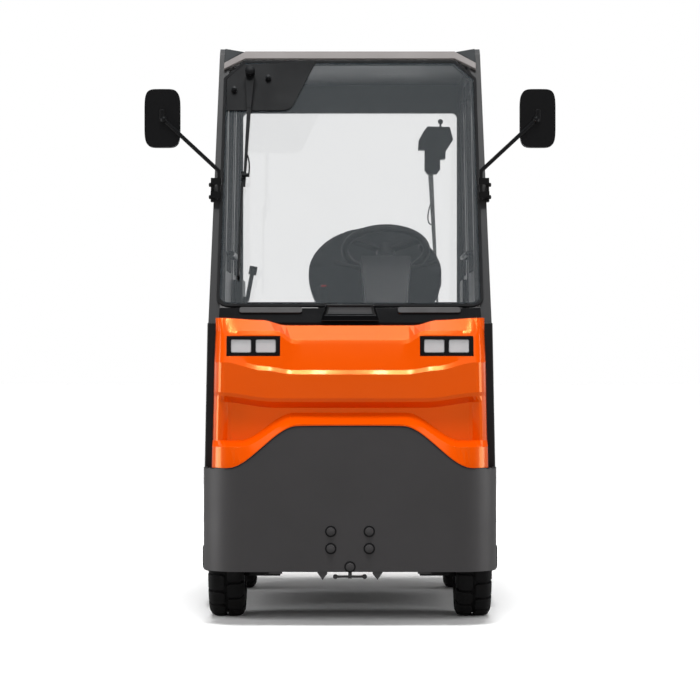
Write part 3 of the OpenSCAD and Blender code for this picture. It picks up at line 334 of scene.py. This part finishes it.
# rounds the short edges that run through a plate's thickness, which are its corners seen from the front
def roundCorners(skin, radius, longest):
    editFaces(skin, lambda face: False)
    bpy.ops.mesh.select_mode(type="EDGE")
    endEdit()
    corners = [vertex.co for vertex in skin.data.vertices]
    for edge in skin.data.edges:
        run = corners[edge.vertices[1]] - corners[edge.vertices[0]]
        edge.select = (abs(run.x) < 0.05 * run.length and abs(run.y) > 0.3 * run.length
                       and run.length < longest * mm)
    bpy.ops.object.mode_set(mode="EDIT")
    bpy.ops.mesh.bevel(offset=radius * mm, segments=skins["cornerSteps"], clamp_overlap=True)
    endEdit()


def skinNode(node, width):
    skin = mergedCopy(node, plainName(node) + "Skin")
    editAll(skin)
    bpy.ops.mesh.dissolve_limited(angle_limit=math.radians(skins["flat"]))
    endEdit()
    if node in skins["corners"]:
        roundCorners(skin, **skins["corners"][node])
    shapeWith(skin, "BEVEL", width=width * mm, segments=skins["steps"], limit_method="ANGLE",
              angle_limit=math.radians(skins["sharp"]), use_clamp_overlap=True)
    smooth(skin)
    shapeWith(skin, "WEIGHTED_NORMAL", weight=100, keep_sharp=True)
    return dress(skin, skins["finishes"].get(node, finishOf[slotOf[node]]), bodyOf[node], [node])


for node, width in skins["bevels"].items():
    skinNode(node, width)
print("skins made:", len(skins["bevels"]))

# the nose: quads again, then its crease lines broken, while the bow across stays smooth
nose = {"crease": 9, "soften": 1.6, "steps": 2, "level": 0.7, "bend": 12, "skew": 60}
nosePanel = mergedCopy("front_panel", "nosePanel")
editAll(nosePanel)
bpy.ops.mesh.tris_convert_to_quads(face_threshold=math.radians(nose["bend"]),
                                   shape_threshold=math.radians(nose["skew"]))
endEdit()
only(nosePanel)
bpy.ops.object.mode_set(mode="EDIT")
bpy.ops.mesh.select_mode(type="EDGE")
bpy.ops.mesh.select_all(action="DESELECT")
bpy.ops.mesh.edges_select_sharp(sharpness=math.radians(nose["crease"]))
endEdit()
noseVertices = nosePanel.data.vertices
for edge in nosePanel.data.edges:
    run = noseVertices[edge.vertices[1]].co - noseVertices[edge.vertices[0]].co
    edge.select = edge.select and abs(run.z) < nose["level"] * run.length
bpy.ops.object.mode_set(mode="EDIT")
bpy.ops.mesh.bevel(offset=nose["soften"] * mm, segments=nose["steps"], clamp_overlap=True)
endEdit()
smooth(nosePanel, 60)
shapeWith(nosePanel, "WEIGHTED_NORMAL", weight=100, keep_sharp=True)
dress(nosePanel, orangeEnamel, bodyOf["front_panel"], ["front_panel"])
print("nose panel made")


# tyres: a spun carcass with staggered shoulder blocks, the solid's own outline at the blocks' faces

tyre = {"radius": 190, "width": 120, "seat": 102.5, "shoulder": 22, "depth": 11, "blocks": 18, "blockLength": 55,
        "innerEdge": 5, "taper": 0.8, "taperEnd": 8, "root": 4, "edge": 1.6, "cuts": 5, "steps": 72}


def treadRadius(x):
    start = tyre["width"] / 2 - tyre["shoulder"]
    over = max(0.0, abs(x) - start)
    return tyre["radius"] - tyre["shoulder"] + math.sqrt(max(0.0, tyre["shoulder"] ** 2 - over ** 2))


def tyreCarcass():
    half = tyre["width"] / 2
    low = tyre["radius"] - tyre["depth"]
    side = [(half - 8, tyre["seat"]), (half - 1, tyre["seat"] + 10), (half, 130), (half - 1, 148),
            (half - 5, 162), (half - 14, low - 4), (half - 26, low)]
    section = side + [(-x, r) for x, r in reversed(side)]
    bpy.ops.object.select_all(action="DESELECT")
    bpy.ops.mesh.primitive_circle_add(vertices=len(section), radius=1)
    carcass = bpy.context.active_object
    for vertex, (x, r) in zip(carcass.data.vertices, section):
        vertex.co = (x * mm, 0, r * mm)
    editAll(carcass)
    bpy.ops.mesh.spin(steps=tyre["steps"], angle=2 * math.pi, center=(0, 0, 0), axis=(1, 0, 0))
    bpy.ops.mesh.select_all(action="SELECT")
    bpy.ops.mesh.remove_doubles(threshold=0.05 * mm)
    bpy.ops.mesh.normals_make_consistent(inside=False)
    endEdit()
    return carcass


def treadBlock():
    bpy.ops.object.select_all(action="DESELECT")
    bpy.ops.mesh.primitive_cube_add(size=1)
    block = bpy.context.active_object
    editAll(block)
    bpy.ops.mesh.subdivide(number_cuts=tyre["cuts"])
    endEdit()
    inner, outer = tyre["innerEdge"], tyre["width"] / 2 - 0.2
    for vertex in block.data.vertices:
        x = inner + (vertex.co.x + 0.5) * (outer - inner)
        along = vertex.co.y * tyre["blockLength"] * (1.0 if x > inner + tyre["taperEnd"] else tyre["taper"])
        top = treadRadius(x)
        r = top - (0.5 - vertex.co.z) * (tyre["depth"] + tyre["root"])
        turn = along / tyre["radius"]
        vertex.co = (x * mm, r * math.sin(turn) * mm, r * math.cos(turn) * mm)
    shapeWith(block, "BEVEL", width=tyre["edge"] * mm, segments=1, limit_method="ANGLE", angle_limit=math.radians(40))
    return block


def tyreAt(node):
    low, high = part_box(node)
    centre = (low + high) / 2
    pieces = [tyreCarcass()]
    block = treadBlock()
    pitch = 2 * math.pi / tyre["blocks"]
    for i in range(tyre["blocks"]):
        pieces.append(copyOf(block, "block", Matrix.Rotation(i * pitch, 4, "X")))
        flip = Matrix.Rotation((i + 0.5) * pitch, 4, "X") @ Matrix.Rotation(math.pi, 4, "Z")
        pieces.append(copyOf(block, "block", flip))
    bpy.data.objects.remove(block)
    made = joinAll(pieces, plainName(node) + "Tread")
    made.data.transform(Matrix.Translation(centre))
    smooth(made, 40)
    return dress(made, tyreRubber, bodyOf[node], [node])


for node in [name for name in nodes if name.startswith("tyre_")]:
    tyreAt(node)
print("tyres made")


# seat pads: the plain solids swollen as foam under a sewn cover

seatPads = {"nodes": {"seat_cushion": "seatCushion", "seat_backrest": "seatBackrest"}, "shrink": 0.96,
            "voxel": 8, "pressure": 4.0, "frames": 20, "cap": 14, "fill": 0.7}


def fitBox(obj, low, high):
    corners = [vertex.co for vertex in obj.data.vertices]
    small = Vector([min(c[i] for c in corners) for i in range(3)])
    large = Vector([max(c[i] for c in corners) for i in range(3)])
    scale = [(high[i] - low[i]) / (large[i] - small[i]) for i in range(3)]
    for corner in corners:
        for i in range(3):
            corner[i] = low[i] + (corner[i] - small[i]) * scale[i]


def padded(node, name):
    pad = mergedCopy(node, name)
    low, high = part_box(node)
    centre = (low + high) / 2
    smaller = Matrix.Diagonal((seatPads["shrink"],) * 3 + (1,))
    pad.data.transform(Matrix.Translation(centre) @ smaller @ Matrix.Translation(-centre))
    pad.data.remesh_voxel_size = seatPads["voxel"] * mm
    only(pad)
    bpy.ops.object.voxel_remesh()
    rest = [vertex.co.copy() for vertex in pad.data.vertices]
    cloth = pad.modifiers.new("cloth", "CLOTH")
    cloth.settings.use_pressure = True
    cloth.settings.uniform_pressure_force = seatPads["pressure"]
    cloth.settings.effector_weights.gravity = 0
    for step in range(1, seatPads["frames"] + 1):
        bpy.context.scene.frame_set(step)
    only(pad)
    bpy.ops.object.modifier_apply(modifier="cloth")
    bpy.context.scene.frame_set(1)
    cap = seatPads["cap"] * mm
    for vertex, start in zip(pad.data.vertices, rest):
        move = vertex.co - start
        if move.length > cap:
            vertex.co = start + move * (cap / move.length)
    fitBox(pad, low, high)
    smooth(pad, 60)
    dress(pad, seatCloth, bodyOf[node], [node])
    return pad


for node, name in seatPads["nodes"].items():
    padded(node, name)
print("seat pads made")


# fastenings: one hexagon bolt with its washer and one round screw, each modelled once and copied

fastenings = {"flats": 6, "round": 28, "chamfer": 0.12, "washer": 1.15}


def cylinderPiece(name, sides, radius, height, bevel):
    bpy.ops.object.select_all(action="DESELECT")
    bpy.ops.mesh.primitive_cylinder_add(vertices=sides, radius=radius * mm, depth=height * mm,
                                        location=(0, 0, height * mm / 2))
    piece = bpy.context.active_object
    piece.name = name
    settle(piece)
    editFaces(piece, lambda face: face.normal.z > 0.9)
    bpy.ops.mesh.inset(thickness=radius * bevel * mm)
    bpy.ops.transform.translate(value=(0, 0, radius * bevel * 0.6 * mm))
    endEdit()
    return piece


def boltPiece(name, radius, height):
    washer = cylinderPiece(name, fastenings["round"], radius * fastenings["washer"], height * 0.25, 0.05)
    head = cylinderPiece("head", fastenings["flats"], radius, height * 0.8, fastenings["chamfer"])
    head.data.transform(Matrix.Translation((0, 0, height * 0.22 * mm)))
    stud = cylinderPiece("stud", fastenings["round"], radius * 0.55, height * 0.12, 0.1)
    stud.data.transform(Matrix.Translation((0, 0, height * 1.05 * mm)))
    return joinAll([washer, head, stud], name)


def screwPiece(name, radius, height):
    screw = cylinderPiece(name, fastenings["round"], radius, height, 0.25)
    editFaces(screw, lambda face: face.normal.z > 0.95 and face.center.z > height * 0.9 * mm)
    bpy.ops.mesh.inset(thickness=radius * 0.3 * mm)
    bpy.ops.transform.translate(value=(0, 0, -height * 0.5 * mm))
    endEdit()
    return screw


def spread(piece, name, places, material, body):
    copies = [copyOf(piece, "copy", facing(place, direction)) for place, direction in places]
    bpy.data.objects.remove(piece)
    made = joinAll(copies, name)
    smooth(made)
    return dress(made, material, body)


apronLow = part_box("front_apron")[0]
apronBolts = {"across": 126, "up": 56, "middle": 286, "radius": 12.5, "height": 9, "lowest": 198,
              "ring": 1.5, "ringHeight": 2}
apronSpots = [(x * apronBolts["across"] / 2, apronBolts["middle"] + z * apronBolts["up"] / 2)
              for x in (-1, 1) for z in (-1, 1)] + [(0, apronBolts["lowest"])]
apronPlaces = [((x * mm, apronLow.y, z * mm), (0, -1, 0)) for x, z in apronSpots]
spread(boltPiece("bolt", apronBolts["radius"], apronBolts["height"]), "apronBolts", apronPlaces,
       greyPowderCoat, "chassis")
# the black rings round the apron's bolts are painted shade: they stand in for the shadow round each bolt head
spread(cylinderPiece("ring", fastenings["round"], apronBolts["radius"] * apronBolts["ring"],
                     apronBolts["ringHeight"], 0.05), "apronBoltRings", apronPlaces, blackMoulding, "chassis")

# the windscreen's own plane, for what is fixed on it
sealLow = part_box("windscreen_seal")[0]
screen = {"rake": math.radians(23.9), "sealDepth": 6, "plateFace": 16}
screenUp = Vector((0, math.sin(screen["rake"]), math.cos(screen["rake"])))
screenOut = Vector((0, -math.cos(screen["rake"]), math.sin(screen["rake"])))
screenFoot = Vector((0, sealLow.y, sealLow.z)) - Vector((0, screenOut.y * screen["sealDepth"] * mm, 0))


def onScreen(u, v, w):
    return screenFoot + (Vector((1, 0, 0)) * u + screenUp * v + screenOut * w) * mm


plateBolts = {"places": [(-403, 831), (-285, 877)], "radius": 9, "height": 9}
spread(boltPiece("bolt", plateBolts["radius"], plateBolts["height"]), "wiperPlateBolts",
       [(onScreen(u, v, screen["plateFace"]), screenOut) for u, v in plateBolts["places"]], blackPowderCoat,
       "chassis")
cowlScrews = {"across": (-425, -150, 150, 425), "up": -14, "proud": 2, "radius": 6, "height": 4}
spread(screwPiece("screw", cowlScrews["radius"], cowlScrews["height"]), "cowlScrews",
       [(onScreen(u, cowlScrews["up"], cowlScrews["proud"]), screenOut) for u in cowlScrews["across"]],
       blackMoulding, "chassis")

# wheel nuts stand on the rims' discs
wheelNuts = {"count": 5, "circle": 62, "face": 19, "radius": 10, "height": 11}
for node in [name for name in nodes if name.startswith("rim_")]:
    low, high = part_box(node)
    centre = (low + high) / 2
    side = 1 if centre.x > 0 else -1
    places = []
    for i in range(wheelNuts["count"]):
        turn = 2 * math.pi * i / wheelNuts["count"]
        offset = Vector((side * wheelNuts["face"], wheelNuts["circle"] * math.cos(turn),
                         wheelNuts["circle"] * math.sin(turn)))
        places.append((centre + offset * mm, (side, 0, 0)))
    spread(boltPiece("nut", wheelNuts["radius"], wheelNuts["height"]), plainName(node) + "Nuts", places, zincSteel,
           bodyOf[node])
print("fastenings made")


# hoses and the belt stalk: bevelled curves turned into meshes

def tube(name, points, radius, material, body):
    curve = bpy.data.curves.new(name, "CURVE")
    curve.dimensions = "3D"
    curve.bevel_depth = radius * mm
    curve.bevel_resolution = 4
    curve.resolution_u = 10
    curve.use_fill_caps = True
    spline = curve.splines.new("NURBS")
    spline.points.add(len(points) - 1)
    for point, place in zip(spline.points, points):
        point.co = (*place, 1)
    spline.order_u = 4
    spline.use_endpoint_u = True
    made = bpy.data.objects.new(name, curve)
    bpy.context.scene.collection.objects.link(made)
    only(made)
    bpy.ops.object.convert(target="MESH")
    made = bpy.context.active_object
    smooth(made, 50)
    return dress(made, material, body)


def blockPiece(name, size, bevel):
    bpy.ops.object.select_all(action="DESELECT")
    bpy.ops.mesh.primitive_cube_add(size=1)
    piece = bpy.context.active_object
    piece.name = name
    piece.scale = [length * mm for length in size]
    settle(piece)
    shapeWith(piece, "BEVEL", width=bevel * mm, segments=3)
    return piece


wiperLook = {"pivot": (-348, 886), "armFace": 42, "capRadius": 17, "capHeight": 15, "hose": 2.6,
             "hoseRoute": [(-356, 566, 42), (-350, 552, 46), (-345, 530, 47), (-344, 505, 46), (-346, 484, 44)],
             "nozzle": (-358, 480, 43), "nozzleSize": (28, 10, 12), "nozzleEdge": 2, "rearGap": 10,
             "rearHose": [(318, 1482), (308, 1466), (300, 1436), (299, 1402), (308, 1388), (324, 1390)]}
spread(cylinderPiece("cap", fastenings["round"], wiperLook["capRadius"], wiperLook["capHeight"], 0.3), "wiperCap",
       [(onScreen(*wiperLook["pivot"], wiperLook["armFace"]), screenOut)], blackMoulding, "chassis")
tube("wiperHose", [onScreen(*point) for point in wiperLook["hoseRoute"]], wiperLook["hose"], sealRubber, "chassis")
nozzle = blockPiece("wiperNozzle", wiperLook["nozzleSize"], wiperLook["nozzleEdge"])
nozzle.data.transform(facing(onScreen(*wiperLook["nozzle"]), screenOut))
dress(nozzle, blackMoulding, "chassis")
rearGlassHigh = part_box("rear_window")[1]
tube("rearWiperHose",
     [(x * mm, rearGlassHigh.y + wiperLook["rearGap"] * mm, z * mm) for x, z in wiperLook["rearHose"]],
     wiperLook["hose"], sealRubber, "chassis")

# a thin dark rubber tube laid on the apron's upper edge is painted shade: it stands in for the shadow in the gap
# between the nose and the apron
paintedGapShade = {"radius": 1.7, "reach": 480, "spacing": 4, "ahead": 0.4, "lowest": 500}
upperEdge = {}
for vertex in nodes["front_apron"].data.vertices:
    spot = nodes["front_apron"].matrix_world @ vertex.co
    if abs(spot.x) < paintedGapShade["reach"] * mm and spot.z > paintedGapShade["lowest"] * mm:
        key = round(spot.x / (paintedGapShade["spacing"] * mm))
        upperEdge[key] = max(upperEdge.get(key, spot), spot, key=lambda point: (round(point.z, 4), -point.y))
tube("apronEdging", [upperEdge[key] - Vector((0, paintedGapShade["ahead"] * mm, 0)) for key in sorted(upperEdge)],
     paintedGapShade["radius"], sealRubber, "chassis")

belt = {"foot": (-80, 225, 790), "bend": (-92, 225, 930), "top": (-98, 225, 1085), "stalk": 6,
        "body": (34, 20, 66), "bodyEdge": 5, "bodyUp": (0, 0, 26), "button": (22, 12, 16), "buttonEdge": 3,
        "buttonUp": (0, -3, 56)}
tube("beltStalk", [Vector(belt[key]) * mm for key in ("foot", "bend", "top")], belt["stalk"], sealRubber, "chassis")
buckle = blockPiece("beltBuckle", belt["body"], belt["bodyEdge"])
buckle.data.transform(Matrix.Translation((Vector(belt["top"]) + Vector(belt["bodyUp"])) * mm))
dress(buckle, blackMoulding, "chassis")
button = blockPiece("beltButton", belt["button"], belt["buttonEdge"])
button.data.transform(Matrix.Translation((Vector(belt["top"]) + Vector(belt["buttonUp"])) * mm))
dress(button, redAcrylic, "chassis")
print("hoses and belt made")

# smoked cover in the recess of the cowl's lamp, narrowed upwards as the recess is
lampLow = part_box("cowl_lamp")[0]
cowlLens = {"size": (150, 4, 24), "back": 12, "up": 34.5, "taper": 0.93}
lens = blockPiece("cowlLampCover", cowlLens["size"], 1.5)
editFaces(lens, lambda face: face.center.z > cowlLens["size"][2] * 0.4 * mm)
bpy.ops.transform.resize(value=(cowlLens["taper"], 1, 1))
endEdit()
smooth(lens)
lens.data.transform(Matrix.Translation((0, lampLow.y + cowlLens["back"] * mm, lampLow.z + cowlLens["up"] * mm)))
dress(lens, smokedAcrylic, "chassis")
print("cowl lamp cover made")

# mirror clamps and bracket bolts
mirrorLook = {"headX": 642.5, "headZ": 1701, "armY": -548, "bracketX": 475.5, "boltZs": (1432, 1474),
              "clamp": (16, 12, 44), "clampEdge": 3, "clampShift": (0, 2, 8), "boltBack": 24, "boltSize": 7}
for side, word in ((-1, "Right"), (1, "Left")):
    head = Vector((side * mirrorLook["headX"], mirrorLook["armY"], mirrorLook["headZ"]))
    clamp = blockPiece("mirrorClamp" + word, mirrorLook["clamp"], mirrorLook["clampEdge"])
    clamp.data.transform(Matrix.Translation((head + Vector(mirrorLook["clampShift"])) * mm))
    dress(clamp, blackMoulding, "chassis")
    boltY = mirrorLook["armY"] + mirrorLook["boltBack"]
    spread(boltPiece("bolt", mirrorLook["boltSize"], mirrorLook["boltSize"]), "mirrorBolts" + word,
           [(Vector((side * mirrorLook["bracketX"], boltY, z)) * mm, (side, 0, 0)) for z in mirrorLook["boltZs"]],
           blackPowderCoat, "chassis")
print("mirror fittings made")


# stage: a pale floor, white to the camera and through glass, and greyer to what it lights or shows in gloss

stageLook = {"floorSize": 120, "cameraHeight": 0.908, "cameraBack": 9.5, "lens": 134.7}

bpy.ops.object.select_all(action="DESELECT")
bpy.ops.mesh.primitive_plane_add(size=stageLook["floorSize"])
floor = bpy.context.active_object
floor.name = "floor"
paleFloor = bpy.data.materials.new("paleFloor")
paleFloor.use_nodes = True
floorShader = paleFloor.node_tree.nodes["Principled BSDF"]
floorTree = paleFloor.node_tree
floorPath = addNode(floorTree, "ShaderNodeLightPath")
floorSeen = addNode(floorTree, "ShaderNodeMath", {0: floorPath.outputs["Is Camera Ray"],
                                                  1: floorPath.outputs["Is Transmission Ray"]}, operation="MAXIMUM")
floorTint = addNode(floorTree, "ShaderNodeMix", {"Factor": floorSeen.outputs["Value"],
                                                 "A": linear("#989898"), "B": linear("#fbfbfb")}, data_type="RGBA")
floorTree.links.new(floorTint.outputs["Result"], floorShader.inputs["Base Color"])
floorShader.inputs["Roughness"].default_value = 0.9
floorShader.inputs["Specular IOR Level"].default_value = 0.0
floor.data.materials.append(paleFloor)
floor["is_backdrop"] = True

world = bpy.data.worlds.new("studio")
bpy.context.scene.world = world
world.use_nodes = True
tree = world.node_tree
tree.nodes.clear()
path = addNode(tree, "ShaderNodeLightPath")
seen = addNode(tree, "ShaderNodeMath", {0: path.outputs["Is Camera Ray"], 1: path.outputs["Is Transmission Ray"]},
               operation="MAXIMUM")
place = addNode(tree, "ShaderNodeTexCoord")
axes = addNode(tree, "ShaderNodeSeparateXYZ", {"Vector": place.outputs["Generated"]})
rise = addNode(tree, "ShaderNodeMapRange", {"Value": axes.outputs["Z"], "From Min": 0.85, "From Max": 1.0})
# from the horizon up: a pale band, a dark room, the cool panel that veils the windscreen, and the dark again
sky = addNode(tree, "ShaderNodeValToRGB", {"Fac": axes.outputs["Z"]})
skyStops = [(0.02, (0.9, 0.9, 0.9, 1)), (0.14, (0.06, 0.06, 0.065, 1)), (0.70, (0.06, 0.06, 0.065, 1)),
            (0.735, (0.55, 0.69, 0.79, 1)), (0.825, (0.55, 0.69, 0.79, 1)), (0.85, (0.1, 0.1, 0.1, 1))]
skyRamp = sky.color_ramp.elements
skyRamp[0].position, skyRamp[0].color = skyStops[0]
skyRamp[1].position, skyRamp[1].color = skyStops[-1]
for height, colour in skyStops[1:-1]:
    skyRamp.new(height).color = colour
ceiling = addNode(tree, "ShaderNodeMix", {"Factor": rise.outputs["Result"], "A": sky.outputs["Color"],
                                          "B": (2.6, 2.7, 2.8, 1)}, data_type="RGBA")
shown = addNode(tree, "ShaderNodeMix", {"Factor": path.outputs["Is Glossy Ray"], "A": (0.16, 0.16, 0.16, 1),
                                        "B": ceiling.outputs["Result"]}, data_type="RGBA")
backdrop = addNode(tree, "ShaderNodeMix", {"Factor": seen.outputs["Value"], "A": shown.outputs["Result"],
                                           "B": (1, 1, 1, 1)}, data_type="RGBA")
glow = addNode(tree, "ShaderNodeBackground", {"Color": backdrop.outputs["Result"], "Strength": 1.0})
addNode(tree, "ShaderNodeOutputWorld", {"Surface": glow.outputs["Background"]})

# a wide front fill and a ceiling that only light, and narrow bright strips that gloss shows as glints
lamps = {"frontFill": {"at": (0, -7.0, 3.2), "size": (6.0, 3.0), "power": 190, "aim": (0, 0, 0.9), "glossy": False},
         "rearFill": {"at": (0.8, 7.0, 3.4), "size": (6.0, 3.0), "power": 150, "aim": (0, 0, 0.9), "glossy": False},
         "leftGlint": {"at": (-2.0, -5.74, 11.7), "size": (0.9, 0.8), "power": 125, "aim": (-0.27, -0.7, 0.85),
                       "glossy": True, "diffuse": False},
         "rightGlint": {"at": (2.0, -5.74, 11.7), "size": (0.9, 0.8), "power": 125, "aim": (0.27, -0.7, 0.85),
                        "glossy": True, "diffuse": False},
         "leftStrip": {"at": (-3.4, -0.9, 1.1), "size": (1.6, 2.6), "power": 60, "aim": (0, -0.6, 0.9),
                       "glossy": True},
         "leftSpark": {"at": (-0.77, -5.74, 11.7), "size": (0.4, 0.8), "power": 65, "aim": (-0.27, -0.7, 0.85),
                       "glossy": True, "diffuse": False},
         "rightSpark": {"at": (0.77, -5.74, 11.7), "size": (0.4, 0.8), "power": 65, "aim": (0.27, -0.7, 0.85),
                        "glossy": True, "diffuse": False},
         "rightStrip": {"at": (3.4, -0.9, 1.1), "size": (1.6, 2.6), "power": 48, "aim": (0, -0.6, 0.9),
                        "glossy": True}}
for name, lamp in lamps.items():
    light = bpy.data.lights.new(name, "AREA")
    light.shape = "RECTANGLE"
    light.size, light.size_y = lamp["size"]
    light.energy = lamp["power"]
    stand = bpy.data.objects.new(name, light)
    stand.location = lamp["at"]
    stand.rotation_mode = "QUATERNION"
    stand.rotation_quaternion = (Vector(lamp["aim"]) - Vector(lamp["at"])).to_track_quat("-Z", "Y")
    stand.visible_glossy = lamp["glossy"]
    stand.visible_diffuse = lamp.get("diffuse", True)
    stand.visible_camera = stand.visible_transmission = False
    bpy.context.scene.collection.objects.link(stand)
ceilingLight = {"power": 2.98, "spread": 24, "tilt": 16, "height": 6}
sun = bpy.data.lights.new("ceiling", "SUN")
sun.energy = ceilingLight["power"]
sun.angle = math.radians(ceilingLight["spread"])
sunStand = bpy.data.objects.new("ceiling", sun)
sunStand.location = (0, 0, ceilingLight["height"])
sunStand.rotation_euler = (math.radians(ceilingLight["tilt"]), 0, 0)
sunStand.visible_glossy = False
bpy.context.scene.collection.objects.link(sunStand)

lensData = bpy.data.cameras.new("camera")
lensData.lens = stageLook["lens"]
lensData.sensor_width = 36
lensData.clip_end = 400
camera = bpy.data.objects.new("camera", lensData)
camera.location = (0, -stageLook["cameraBack"], stageLook["cameraHeight"])
camera.rotation_euler = (math.pi / 2, 0, 0)
bpy.context.scene.collection.objects.link(camera)
bpy.context.scene.camera = camera
bpy.context.scene.view_settings.view_transform = "Standard"
print("stage set")

low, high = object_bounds()
